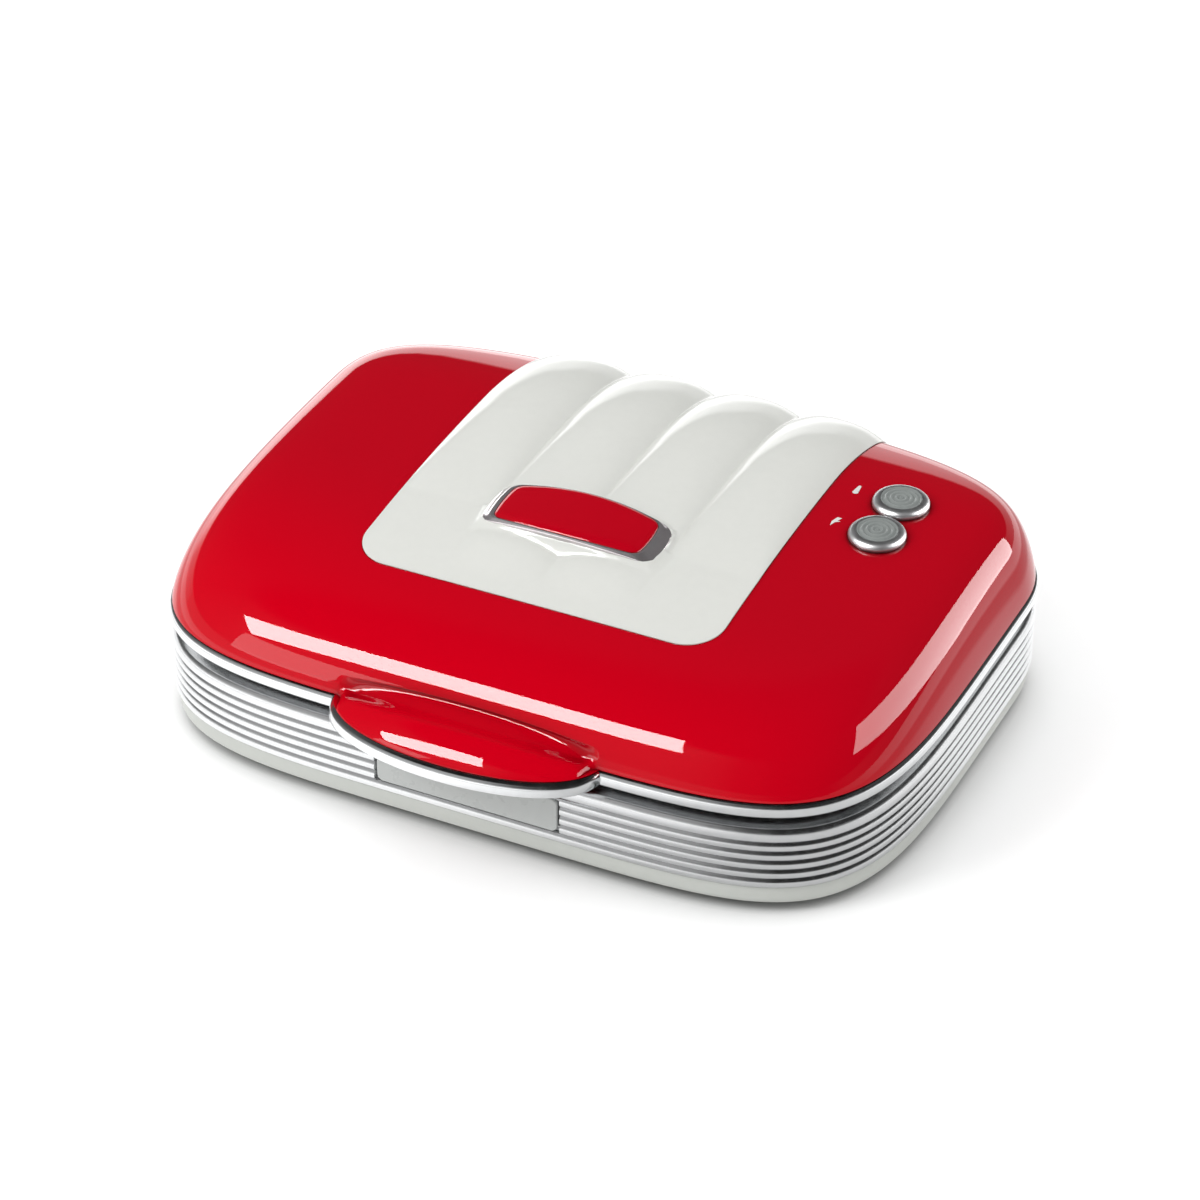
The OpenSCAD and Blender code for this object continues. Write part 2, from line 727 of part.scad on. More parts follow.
// Space of the nameplate in the front wall
module nameplate_seat(grow) {
    translate([-nameplate_half_w - grow, body_y - body_d / 2 - 2, 13.4 - grow])
        cube([2 * (nameplate_half_w + grow), 5, 12 + 2 * grow]);
}

module nameplate() {
    color([0.85, 0.86, 0.85]) intersection() {
        nameplate_seat(0);
        translate([0, 0, 10]) linear_extrude(20) outline_ring(0.3, -2.2);
    }
}

module bottom_cover() {
    floor_z = foot_h;
    color([0.75, 0.77, 0.75]) difference() {
        union() {
            translate([0, 0, floor_z]) linear_extrude(1.7) polygon(outline(-2.6));
            translate([0, 0, floor_z + 1.7]) linear_extrude(band_top - floor_z - 1.7)
                outline_ring(-0.4, -2.8);
            translate([0, 0, floor_z + 1.7]) linear_extrude(0.7) polygon(outline(-2.8));
            at_corners(boss_x, boss_y + 1, boss_y) translate([0, 0, floor_z])
                cylinder(r = boss_r + 0.6, h = base_top - 3.6 - floor_z);
        }
        at_corners(boss_x, boss_y + 1, boss_y) {
            translate([0, 0, floor_z - cut]) cylinder(r = screw_head_r + 0.3, h = 6 + cut);
            cylinder(r = screw_r + gap, h = base_top);
        }
        at_corners(foot_x, foot_y, foot_y) translate([0, 0, floor_z - cut])
            cylinder(r = foot_r + 0.02, h = cut + 1.2);
        for (i = [-6:6]) translate([i * 9 - 1.5, body_y - 20, floor_z - cut]) cube([3, 40, 5]);
    }
}

module base_carrier() {
    color([0.1, 0.1, 0.11]) difference() {
        union() {
            translate([0, 0, base_top - 3.5]) linear_extrude(3.5) difference() {
                polygon(outline(-6.8));
                translate([0, body_y]) round_rect(plate_w + 2 * plate_gap, plate_d + 2 * plate_gap, plate_r);
            }
            for (side = [-1, 1], ear = [-1, 1])
                translate([side * hinge_x + ear * (knuckle_half + ear_gap + ear_w / 2), 0, 0]) base_ear();
        }
        for (side = [-1, 1]) translate([side * hinge_x, axis_y, hinge_z]) rotate([0, 90, 0])
            cylinder(r = pin_r + pin_fit, h = 60, center = true);
        at_corners(boss_x, boss_y + 1, boss_y) cylinder(r = screw_r + screw_fit, h = base_top - 1);
        at_corners(plate_screw_x, plate_screw_y, plate_screw_y)
            cylinder(r = screw_r + screw_fit, h = base_top - 0.5);
    }
}

module base_ear() {
    arm_back = body_y + body_d / 2 - 14;
    arm_z = base_top - 3.5;
    translate([0, axis_y, hinge_z]) rotate([0, 90, 0]) cylinder(r = knuckle_r, h = ear_w, center = true);
    translate([-ear_w / 2, arm_back, arm_z]) cube([ear_w, axis_y - arm_back, parting_z - arm_z]);
}

module hinge_pin(side) {
    reach = knuckle_half + ear_gap + ear_w;
    color([0.7, 0.7, 0.72]) translate([side * hinge_x, axis_y, hinge_z]) rotate([0, side * 90, 0]) {
        translate([0, 0, -reach]) cylinder(r = pin_r, h = 2 * reach + 0.2);
        translate([0, 0, reach + 0.1]) cylinder(r = pin_r + 1.2, h = 1.2);
    }
}

module hinge_pin_left() { hinge_pin(-1); }

module hinge_pin_right() { hinge_pin(1); }

module terminal_block() {
    w = 3 * block_pitch;
    z = foot_h + 2.45;
    color([0.92, 0.92, 0.9]) difference() {
        translate([block_x - w / 2, body_y + 66, z]) cube([w, 12, block_hole_z + 3 - z]);
        for (i = [-1:1]) translate([block_x + i * block_pitch, body_y + 60, block_hole_z])
            rotate([-90, 0, 0]) cylinder(r = 1.6, h = 20);
    }
}

// Moulded bushing that slides up into the slot of the back wall and can't turn there
module cord_bushing() {
    neck = inlet_slot_w - 2 * gap;
    color([0.12, 0.12, 0.12]) on_inlet() difference() {
        union() {
            translate([0, 0, -13.5]) cylinder(r = 5.9, h = 13.5);
            translate([0, 0, 0.1]) cylinder(r = inlet_flange_r, h = 2.8);
            translate([-neck / 2, -neck / 2, -5.6]) cube([neck, neck / 2 + inlet_z - band_top - gap, 6.6]);
            translate([0, 0, -6.3]) cylinder(r = inlet_flange_r - 0.2, h = 1.6);
        }
        translate([0, 0, -15]) cylinder(r = inlet_r, h = 20);
    }
}

module rubber_feet() {
    color([0.12, 0.12, 0.12]) at_corners(foot_x, foot_y, foot_y) cylinder(r = foot_r, h = foot_h + 1.2);
}

lid_shell();
lid_panel();
badge_frame();
badge_plate();
lid_trim();
lid_carrier();
upper_plate();
upper_element();
upper_reflector();
thermostat();
thermal_fuse();
power_lamp_bezel();
ready_lamp_bezel();
power_lamp_lens();
ready_lamp_lens();
power_neon_lamp();
ready_neon_lamp();
lamp_holder();
lid_screws();
upper_plate_screws();
lid_leads();
base_shell();
bottom_cover();
nameplate();
base_carrier();
lower_plate();
lower_element();
lower_reflector();
terminal_block();
cord_bushing();
base_leads();
hinge_pin_left();
hinge_pin_right();
rubber_feet();
base_screws();
lower_plate_screws();
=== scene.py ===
import math

import bmesh
import bpy
from mathutils import Matrix, Vector


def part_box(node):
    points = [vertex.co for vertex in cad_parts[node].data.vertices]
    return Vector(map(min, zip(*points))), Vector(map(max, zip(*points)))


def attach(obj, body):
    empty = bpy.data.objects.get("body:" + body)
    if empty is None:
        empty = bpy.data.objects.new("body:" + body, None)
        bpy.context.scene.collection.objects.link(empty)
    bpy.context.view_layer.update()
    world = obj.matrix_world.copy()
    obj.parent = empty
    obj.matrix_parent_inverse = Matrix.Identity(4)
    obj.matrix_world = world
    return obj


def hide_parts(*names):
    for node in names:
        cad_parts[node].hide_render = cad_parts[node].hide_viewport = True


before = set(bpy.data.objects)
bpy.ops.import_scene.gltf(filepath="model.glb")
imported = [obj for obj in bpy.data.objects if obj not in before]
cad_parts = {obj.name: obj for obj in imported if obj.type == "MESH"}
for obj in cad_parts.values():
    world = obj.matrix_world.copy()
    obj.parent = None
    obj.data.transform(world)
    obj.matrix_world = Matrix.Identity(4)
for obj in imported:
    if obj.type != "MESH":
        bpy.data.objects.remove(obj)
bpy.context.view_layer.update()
print("frame loaded")

mm = 0.001

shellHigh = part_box("lid_shell")[1]
trimLow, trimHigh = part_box("lid_trim")
baseLow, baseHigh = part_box("base_shell")

body = {
    "halfWidth": shellHigh.x,
    "frontDepth": 132 * mm,
    "backDepth": 55 * mm,
    "frontSquare": 5.2,
    "backSquare": 2.8,
    "back": trimHigh.y - 1.2 * mm,
    "edge": trimHigh.z,  # where the red cover meets the silver trim
    "crown": 28 * mm,
    "fall": 13 * mm,
    "edgeRound": 19,
    "crownRound": 1.2,
    "crownSide": 1 * mm,  # how much lower the crown is at the sides
    "wall": 2.4 * mm,
    "pathPoints": 600,
    "wholePoints": 880,
}
body["middle"] = body["back"] - body["backDepth"]
body["front"] = body["middle"] - body["frontDepth"]
body["centre"] = (body["front"] + body["back"]) / 2

lip = {
    "halfWidth": 45 * mm,
    "reach": 18.2 * mm,
    "rootInside": 10 * mm,
    "square": 0.68,
    "points": 220,
    "rootMiddle": 7.0 * mm,  # height of the scoop's upper edge on the wall
    "rootEnd": 5.4 * mm,
    "rows": (0.12, 0.3, 0.5),  # the shares of its rows at which fillet, scoop and crest end
    "blend": 8 * mm,
    "fillet": 1.2 * mm,
    "filletWay": 0.065,  # these three are shares of the way from the wall to the tip
    "scoopWay": 0.28,
    "crestWay": 0.6,
    "scoopLow": 0.87,  # the scoop's lowest height as a share of the crest's
    "crest": 6.8 * mm,
    "frontSquare": 1.35,
}

camera = {
    "target": (-13.33, 30.67, 11.08),
    "azimuth": 25.81,
    "elevation": 34.1,
    "distance": 1263,
    "lens": 117.1,
}


def makeCamera():
    azimuth = math.radians(camera["azimuth"])
    elevation = math.radians(camera["elevation"])
    back = Vector((math.sin(azimuth) * math.cos(elevation),
                   -math.cos(azimuth) * math.cos(elevation),
                   math.sin(elevation)))
    data = bpy.data.cameras.new("camera")
    data.lens = camera["lens"]
    data.sensor_width = 36
    data.clip_end = 20
    eye = bpy.data.objects.new("camera", data)
    eye.location = (Vector(camera["target"]) + back * camera["distance"]) * mm
    eye.rotation_euler = back.to_track_quat("Z", "Y").to_euler()
    bpy.context.scene.collection.objects.link(eye)
    bpy.context.scene.camera = eye


def srgb(red, green, blue):
    values = []
    for level in (red, green, blue):
        share = level / 255
        values.append(share / 12.92 if share <= 0.04045 else ((share + 0.055) / 1.055) ** 2.4)
    return (*values, 1)


studio = {
    "ambient": 1.13,
    "floorGain": 1.25,  # how much brighter the camera sees the floor
    # how bright a shiny piece sees the floor at each distance from the object's middle
    "floorMirror": ((0.0, 0.9), (0.235, 0.9), (0.26, 0.12), (0.35, 0.12), (0.4, 1.6), (1.0, 1.6)),
    "paintedShadowReach": 28 * mm,  # how far the painted shadow at the foot reaches
    "paintedShadowOpen": 0.78,  # the openness at which the floor has its full brightness
    "paintedShadowLevel": 0.28,
    "floorBounce": 0.8,  # the floor's grey for everything but the camera
    # turn round the object as a share from -X, and how bright a shiny piece sees it
    "lowBand": ((0.0, 0.6), (0.083, 0.8), (0.15, 1.0), (0.22, 0.8), (0.278, 0.35), (0.333, 0.04),
                (0.43, 0.04), (0.486, 0.25), (0.528, 0.2), (0.62, 0.15), (0.68, 0.6), (0.778, 1.0),
                (0.83, 2.1), (0.87, 3.8), (0.9, 3.8), (0.935, 1.2), (1.0, 0.8)),
    "floorBand": ((0.0, 0.6), (0.083, 0.8), (0.15, 0.9), (0.22, 0.9), (0.278, 0.5), (0.333, 0.04),
                  (0.43, 0.04), (0.486, 0.25), (0.528, 0.7), (0.68, 0.9), (0.778, 0.9), (0.82, 1.4),
                  (0.889, 1.4), (0.925, 0.8), (1.0, 0.6)),
    "highBand": ((0.0, 0.14), (0.083, 0.3), (0.125, 0.5), (0.208, 0.5), (0.264, 0.12), (0.333, 0.01),
                 (0.5, 0.02), (0.625, 0.06), (0.764, 0.05), (0.822, 0.05), (0.889, 0.06), (0.944, 0.12),
                 (1.0, 0.14)),
    "bandEdge": (0.17, 0.21),  # heights of a ray between which the low band fades into the high one
    "top": (0.78, 0.86),
    "topLevel": 0.1,
    "scale": 4,  # a ramp holds levels up to 1, so they are stored as shares of this
}


def addRamp(nodes, stops):
    ramp = nodes.new("ShaderNodeValToRGB")
    elements = ramp.color_ramp.elements
    while len(elements) > 1:
        elements.remove(elements[-1])
    elements[0].position = stops[0][0]
    elements[0].color = (*[stops[0][1] / studio["scale"]] * 3, 1)
    for place, level in stops[1:]:
        element = elements.new(place)
        element.color = (*[level / studio["scale"]] * 3, 1)
    return ramp


def addMath(tree, operation, first, second):
    node = tree.nodes.new("ShaderNodeMath")
    node.operation = operation
    for socket, value in zip(node.inputs, (first, second)):
        if isinstance(value, (int, float)):
            socket.default_value = value
        else:
            tree.links.new(value, socket)
    return node.outputs[0]


def addStep(tree, value, low, high, start=0.0, end=1.0):
    node = tree.nodes.new("ShaderNodeMapRange")
    node.interpolation_type = "SMOOTHSTEP"
    node.inputs["From Min"].default_value = low
    node.inputs["From Max"].default_value = high
    node.inputs["To Min"].default_value = start
    node.inputs["To Max"].default_value = end
    tree.links.new(value, node.inputs["Value"])
    return node.outputs["Result"]


def makeFloor():
    bm = bmesh.new()
    bmesh.ops.create_grid(bm, x_segments=2, y_segments=2, size=4)
    mesh = bpy.data.meshes.new("floor")
    bm.to_mesh(mesh)
    bm.free()
    floor = bpy.data.objects.new("floor", mesh)
    bpy.context.scene.collection.objects.link(floor)
    material = bpy.data.materials.new("pale floor")
    material.use_nodes = True
    tree = material.node_tree
    nodes = tree.nodes
    links = tree.links
    nodes.clear()
    output = nodes.new("ShaderNodeOutputMaterial")
    path = nodes.new("ShaderNodeLightPath")
    # The camera sees the floor's colour darkened near the object: a painted contact shadow added to the lit
    # one
    near = nodes.new("ShaderNodeAmbientOcclusion")
    near.inputs["Distance"].default_value = studio["paintedShadowReach"]
    shade = addStep(tree, near.outputs["AO"], 0.0, studio["paintedShadowOpen"], studio["paintedShadowLevel"],
                    studio["floorGain"])
    seen = nodes.new("ShaderNodeMix")
    seen.inputs["A"].default_value = studio["floorBounce"]
    links.new(path.outputs["Is Camera Ray"], seen.inputs["Factor"])
    links.new(shade, seen.inputs["B"])
    diffuse = nodes.new("ShaderNodeBsdfDiffuse")
    links.new(seen.outputs["Result"], diffuse.inputs["Color"])
    glow = nodes.new("ShaderNodeEmission")
    both = nodes.new("ShaderNodeAddShader")
    place = nodes.new("ShaderNodeTexCoord")
    reach = nodes.new("ShaderNodeVectorMath")
    reach.operation = "LENGTH"
    links.new(place.outputs["Object"], reach.inputs[0])
    distance = addRamp(nodes, studio["floorMirror"])
    links.new(reach.outputs["Value"], distance.inputs["Fac"])
    turn = nodes.new("ShaderNodeTexGradient")
    turn.gradient_type = "RADIAL"
    links.new(place.outputs["Object"], turn.inputs["Vector"])
    around = addRamp(nodes, studio["floorBand"])
    links.new(turn.outputs["Fac"], around.inputs["Fac"])
    level = addMath(tree, "MULTIPLY", distance.outputs["Color"], around.outputs["Color"])
    level = addMath(tree, "MULTIPLY", level, studio["scale"] ** 2)
    links.new(addMath(tree, "MULTIPLY", path.outputs["Is Glossy Ray"], level), glow.inputs["Strength"])
    links.new(diffuse.outputs[0], both.inputs[0])
    links.new(glow.outputs[0], both.inputs[1])
    links.new(both.outputs[0], output.inputs["Surface"])
    mesh.materials.append(material)


def makeWorld():
    world = bpy.data.worlds.new("studio")
    bpy.context.scene.world = world
    world.use_nodes = True
    tree = world.node_tree
    nodes = tree.nodes
    links = tree.links
    nodes.clear()
    output = nodes.new("ShaderNodeOutputWorld")
    path = nodes.new("ShaderNodeLightPath")
    soft = nodes.new("ShaderNodeBackground")
    soft.inputs["Strength"].default_value = studio["ambient"]
    place = nodes.new("ShaderNodeTexCoord")
    split = nodes.new("ShaderNodeSeparateXYZ")
    links.new(place.outputs["Object"], split.inputs[0])
    turn = nodes.new("ShaderNodeTexGradient")
    turn.gradient_type = "RADIAL"
    links.new(place.outputs["Object"], turn.inputs["Vector"])
    low = addRamp(nodes, studio["lowBand"])
    high = addRamp(nodes, studio["highBand"])
    links.new(turn.outputs["Fac"], low.inputs["Fac"])
    links.new(turn.outputs["Fac"], high.inputs["Fac"])
    bands = nodes.new("ShaderNodeMix")
    bands.data_type = "RGBA"
    links.new(addStep(tree, split.outputs["Z"], *studio["bandEdge"]), bands.inputs["Factor"])
    links.new(low.outputs["Color"], bands.inputs["A"])
    links.new(high.outputs["Color"], bands.inputs["B"])
    mirror = nodes.new("ShaderNodeBackground")
    links.new(bands.outputs["Result"], mirror.inputs["Color"])
    strength = addStep(tree, split.outputs["Z"], *studio["top"], studio["scale"], studio["topLevel"])
    links.new(strength, mirror.inputs["Strength"])
    sky = nodes.new("ShaderNodeBackground")
    first = nodes.new("ShaderNodeMixShader")
    second = nodes.new("ShaderNodeMixShader")
    links.new(path.outputs["Is Glossy Ray"], first.inputs["Fac"])
    links.new(soft.outputs[0], first.inputs[1])
    links.new(mirror.outputs[0], first.inputs[2])
    links.new(path.outputs["Is Camera Ray"], second.inputs["Fac"])
    links.new(first.outputs[0], second.inputs[1])
    links.new(sky.outputs[0], second.inputs[2])
    links.new(second.outputs[0], output.inputs["Surface"])


def makeLight(name, place, size, power, aim=(0, 0, 0.04), glossy=True, diffuse=True, spin=0):
    data = bpy.data.lights.new(name, "AREA")
    data.shape = "RECTANGLE"
    data.size, data.size_y = size
    data.energy = power
    light = bpy.data.objects.new(name, data)
    light.location = place
    turn = (Vector(place) - Vector(aim)).to_track_quat("Z", "Y").to_matrix()
    light.rotation_euler = (turn @ Matrix.Rotation(math.radians(spin), 3, "Z")).to_euler()
    light.visible_glossy = glossy
    light.visible_diffuse = diffuse
    bpy.context.scene.collection.objects.link(light)
    return light


def makeLights():
    makeLight("near key", (-0.38, -0.55, 0.55), (0.3, 0.2), 1.7, glossy=False)
    low = makeLight("low window", (-0.69, -0.92, 0.39), (0.42, 0.4), 2.5, diffuse=False)
    front = makeLight("front strip", (-0.58, -0.78, 0.99), (0.8, 0.42), 45, aim=(0, -0.083, 0.05),
                      diffuse=False, spin=35.6)
    right = makeLight("right panel", (0.9, 0.66, 0.42), (1.3, 0.6), 30, aim=(0, 0.66, 0.42),
                      diffuse=False, spin=-23)
    return [low, front, right]


# Lights that only these pieces mirror
def limitLights(lights, pieces):
    chosen = bpy.data.collections.new("mirroring pieces")
    for piece in pieces:
        chosen.objects.link(piece)
    for light in lights:
        light.light_linking.receiver_collection = chosen


makeCamera()
makeFloor()
makeWorld()
paintLights = makeLights()
bpy.context.scene.view_settings.view_transform = "Standard"
print("studio ready")


def signedPower(value, power):
    return math.copysign(abs(value) ** power, value)


def ease(value, low, high):
    t = min(max((value - low) / (high - low), 0), 1)
    return t * t * (3 - 2 * t)


def bodyPoint(angle):
    square = body["backSquare"] if math.sin(angle) > 0 else body["frontSquare"]
    depth = body["backDepth"] if math.sin(angle) > 0 else body["frontDepth"]
    return Vector((body["halfWidth"] * signedPower(math.cos(angle), 2 / square),
                   body["middle"] + depth * signedPower(math.sin(angle), 2 / square)))


def bodyFrontY(x):
    square = body["frontSquare"]
    share = min(abs(x) / body["halfWidth"], 1)
    return body["middle"] - body["frontDepth"] * (1 - share ** square) ** (1 / square)


def lipPoint(angle):
    root = body["front"] + lip["rootInside"]
    return Vector((lip["halfWidth"] * math.cos(angle),
                   root + (lip["reach"] + lip["rootInside"]) * signedPower(math.sin(angle), lip["square"])))


def evenPath(points, count, closed=True):
    steps = [(b - a).length for a, b in zip(points, points[1:] + points[:1])]
    if not closed:
        steps.pop()
    total = sum(steps)
    result = []
    i, passed = 0, 0.0
    for k in range(count):
        wanted = total * k / (count if closed else count - 1) * (1 - 1e-9)
        while passed + steps[i] < wanted:
            passed += steps[i]
            i += 1
        share = (wanted - passed) / steps[i]
        result.append(points[i].lerp(points[(i + 1) % len(points)], share))
    return result


# The painted edge with the lip, and for each of its points the wall point it grows from
def makeLippedPath():
    curve = [lipPoint(math.radians(180 + k / 4)) for k in range(721)]
    curve = [p for p in curve if p.y < bodyFrontY(p.x)]
    rootX = curve[-1].x
    tips = evenPath(curve, lip["points"], closed=False)
    outline = [bodyPoint(math.radians(k / 4)) for k in range(-360, 1080)]
    rest = [p for p in outline if p.y > body["middle"] or abs(p.x) > rootX]
    rest = evenPath(rest, body["pathPoints"], closed=False)
    roots = []
    for k in range(lip["points"]):
        x = rootX * (2 * k / (lip["points"] - 1) - 1)
        roots.append(Vector((x, bodyFrontY(x))))
    return rest + tips, rest + roots


def pathNormals(path):
    normals = []
    for k in range(len(path)):
        along = path[k + 1 - len(path)] - path[k - 1]
        normals.append(Vector((along.y, -along.x)).normalized())
    return normals


# A rounded rectangle with its long sides bowed out
def roundedPath(halfWidth, halfDepth, radius, count, bow=0.0, centre=(0, 0)):
    points = []
    for side, (x, y) in enumerate(((1, -1), (1, 1), (-1, 1), (-1, -1))):
        for k in range(25):
            turn = math.radians(side * 90 - 90 + k * 90 / 24)
            points.append(Vector((x * (halfWidth - radius) + radius * math.cos(turn),
                                  y * (halfDepth - radius) + radius * math.sin(turn))))
    shift = Vector(centre)
    path = []
    for p in evenPath(points, count):
        stretch = 1 + bow * (1 - (p.x / halfWidth) ** 2) / halfDepth
        path.append(Vector((p.x, p.y * stretch)) + shift)
    return path


# A flat grid whose points are moved to their places on the piece
def layGrid(columns, rows, place):
    bm = bmesh.new()
    bmesh.ops.create_grid(bm, x_segments=columns, y_segments=rows, size=1)
    for vert in bm.verts:
        vert.co = place(round((vert.co.x + 1) / 2 * columns), round((vert.co.y + 1) / 2 * rows))
    return bm


def layRings(rings, closed=False, capped=True):
    count = len(rings[0])
    rows = len(rings) if closed else len(rings) - 1
    bm = layGrid(count, rows, lambda column, row: rings[row % len(rings)][column % count])
    bmesh.ops.remove_doubles(bm, verts=bm.verts, dist=1e-8)
    if capped and not closed:
        bmesh.ops.edgeloop_fill(bm, edges=[edge for edge in bm.edges if edge.is_boundary])
    bmesh.ops.recalc_face_normals(bm, faces=bm.faces)
    return bm


# A section of pairs, distance outwards and height, swept round a path; reshape may change the distance
def sweepSection(path, section, closed=True, reshape=None):
    normals = pathNormals(path)
    rings = []
    for grow, z in section:
        ring = []
        for p, n in zip(path, normals):
            out = reshape(p, grow, z) if reshape else grow
            ring.append(Vector((*(p + n * out), z)))
        rings.append(ring)
    return layRings(rings, closed)


# Points on an arc, from the first turn in degrees up to but without the last one
def arcPoints(x, z, wide, high, first, last, count):
    points = []
    for k in range(count):
        turn = math.radians(first + (last - first) * k / count)
        points.append((x + wide * math.cos(turn), z + high * math.sin(turn)))
    return points


def turnProfile(profile, segments=72):
    bm = bmesh.new()
    verts = [bmesh.ops.create_vert(bm, co=(radius, 0, z))["vert"][0] for radius, z in profile]
    edges = [bm.edges.new(pair) for pair in zip(verts, verts[1:])]
    bmesh.ops.spin(bm, geom=verts + edges, cent=(0, 0, 0), axis=(0, 0, 1), angle=math.tau,
                   steps=segments, use_merge=True)
    bmesh.ops.remove_doubles(bm, verts=bm.verts, dist=1e-7)
    bmesh.ops.recalc_face_normals(bm, faces=bm.faces)
    return bm


def finishPiece(bm, name, material, carrier, replaced=(), angle=50):
    mesh = bpy.data.meshes.new(name)
    bm.to_mesh(mesh)
    bm.free()
    mesh.shade_smooth()
    mesh.set_sharp_from_angle(angle=math.radians(angle))
    mesh.materials.append(material)
    piece = bpy.data.objects.new(name, mesh)
    bpy.context.scene.collection.objects.link(piece)
    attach(piece, carrier)
    if replaced:
        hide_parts(*replaced)
    return piece


def addBevel(piece, width, segments=3, angle=40):
    edge = piece.modifiers.new("edge", "BEVEL")
    edge.width = width
    edge.segments = segments
    edge.limit_method = "ANGLE"
    edge.angle_limit = math.radians(angle)


# The same shape as a frame part, with its edges rounded off
def softenPart(node, name, material, carrier, width, segments=2):
    bm = bmesh.new()
    bm.from_mesh(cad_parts[node].data)
    bmesh.ops.remove_doubles(bm, verts=bm.verts, dist=1e-6)
    bmesh.ops.dissolve_limit(bm, angle_limit=math.radians(2), verts=bm.verts, edges=bm.edges)
    piece = finishPiece(bm, name, material, carrier, [node], angle=38)
    addBevel(piece, width, segments)


def lidSwell(x, y):
    depth = body["backDepth"] if y > body["middle"] else body["frontDepth"]
    return (body["crown"] - body["crownSide"] * (x / body["halfWidth"]) ** 2
            - body["fall"] * ((y - body["middle"]) / depth) ** 2)


def reach(x, y):
    square = body["backSquare"] if y > body["middle"] else body["frontSquare"]
    depth = body["backDepth"] if y > body["middle"] else body["frontDepth"]
    across = abs(x / body["halfWidth"]) ** square
    return (across + abs((y - body["middle"]) / depth) ** square) ** (1 / square)


def lidHeight(x, y):
    share = max(1 - min(reach(x, y), 1) ** body["edgeRound"], 0) ** (1 / body["crownRound"])
    return body["edge"] + lidSwell(x, y) * share


wholePath = evenPath([bodyPoint(math.radians(k / 4)) for k in range(1440)], body["wholePoints"])
lidPath, lidRoots = makeLippedPath()


def newMaterial(name):
    material = bpy.data.materials.new(name)
    material.use_nodes = True
    nodes = material.node_tree.nodes
    nodes.clear()
    output = nodes.new("ShaderNodeOutputMaterial")
    shader = nodes.new("ShaderNodeBsdfPrincipled")
    material.node_tree.links.new(shader.outputs["BSDF"], output.inputs["Surface"])
    return material, shader


def addNoise(material, scale):
    nodes = material.node_tree.nodes
    place = nodes.new("ShaderNodeTexCoord")
    noise = nodes.new("ShaderNodeTexNoise")
    noise.inputs["Scale"].default_value = scale
    noise.inputs["Detail"].default_value = 4
    material.node_tree.links.new(place.outputs["Object"], noise.inputs["Vector"])
    return noise


def addBump(material, shader, noise, strength, distance):
    nodes = material.node_tree.nodes
    links = material.node_tree.links
    bump = nodes.new("ShaderNodeBump")
    bump.inputs["Strength"].default_value = strength
    bump.inputs["Distance"].default_value = distance
    links.new(noise.outputs["Fac"], bump.inputs["Height"])
    links.new(bump.outputs["Normal"], shader.inputs["Normal"])


def addVariation(material, shader, share, socket, low, high):
    nodes = material.node_tree.nodes
    links = material.node_tree.links
    if socket == "Base Color":
        mix = nodes.new("ShaderNodeMix")
        mix.data_type = "RGBA"
        mix.inputs["A"].default_value = low
        mix.inputs["B"].default_value = high
        links.new(share, mix.inputs["Factor"])
        links.new(mix.outputs["Result"], shader.inputs[socket])
    else:
        spread = nodes.new("ShaderNodeMapRange")
        spread.inputs["From Min"].default_value = 0.3
        spread.inputs["From Max"].default_value = 0.7
        spread.inputs["To Min"].default_value = low
        spread.inputs["To Max"].default_value = high
        links.new(share, spread.inputs["Value"])
        links.new(spread.outputs["Result"], shader.inputs[socket])


paint = {
    "paintedLightFromTo": (-0.09, -0.01),  # metres along the painted light's direction
    "paintedLightGrain": 0.12,
    "paintedShadeReach": 20 * mm,
    "paintedShadeOpen": (0.55, 0.98),  # openness between which the painted shade fades out
}


# Painted light: a slow change of colour across the piece along a direction, blended with the grain
def addPaintedLightFall(material, noise, direction):
    tree = material.node_tree
    place = tree.nodes.new("ShaderNodeTexCoord")
    along = tree.nodes.new("ShaderNodeVectorMath")
    along.operation = "DOT_PRODUCT"
    along.inputs[1].default_value = direction
    tree.links.new(place.outputs["Object"], along.inputs[0])
    share = addStep(tree, along.outputs["Value"], *paint["paintedLightFromTo"])
    grain = addMath(tree, "SUBTRACT", noise.outputs["Fac"], 0.5)
    grain = addMath(tree, "MULTIPLY", grain, paint["paintedLightGrain"])
    return addMath(tree, "ADD", share, grain)


# Painted shade: less colour where neighbouring surfaces close in, such as the lip's scoop
def addPaintedHollowShade(material, shader, amount):
    tree = material.node_tree
    near = tree.nodes.new("ShaderNodeAmbientOcclusion")
    near.inputs["Distance"].default_value = paint["paintedShadeReach"]
    base = shader.inputs["Base Color"].links[0].from_socket
    tree.links.new(base, near.inputs["Color"])
    mix = tree.nodes.new("ShaderNodeMix")
    mix.data_type = "RGBA"
    mix.blend_type = "MULTIPLY"
    shade = addStep(tree, near.outputs["AO"], *paint["paintedShadeOpen"], 1 - amount, 1.0)
    mix.inputs["Factor"].default_value = 1
    tree.links.new(base, mix.inputs["A"])
    tree.links.new(shade, mix.inputs["B"])
    tree.links.new(mix.outputs["Result"], shader.inputs["Base Color"])


def mixFinish(name, dark, light, rough, grain=300, bump=0.05, depth=0.05 * mm, metal=0.0, specular=0.5,
              paintedLightFall=None, paintedHollowShade=0.0):
    material, shader = newMaterial(name)
    noise = addNoise(material, grain)
    addBump(material, shader, noise, bump, depth)
    spread = addPaintedLightFall(material, noise, paintedLightFall) if paintedLightFall else noise.outputs["Fac"]
    addVariation(material, shader, spread, "Base Color", srgb(*dark), srgb(*light))
    if paintedHollowShade:
        addPaintedHollowShade(material, shader, paintedHollowShade)
    addVariation(material, shader, noise.outputs["Fac"], "Roughness", *rough)
    shader.inputs["Metallic"].default_value = metal
    shader.inputs["Specular IOR Level"].default_value = specular
    return material
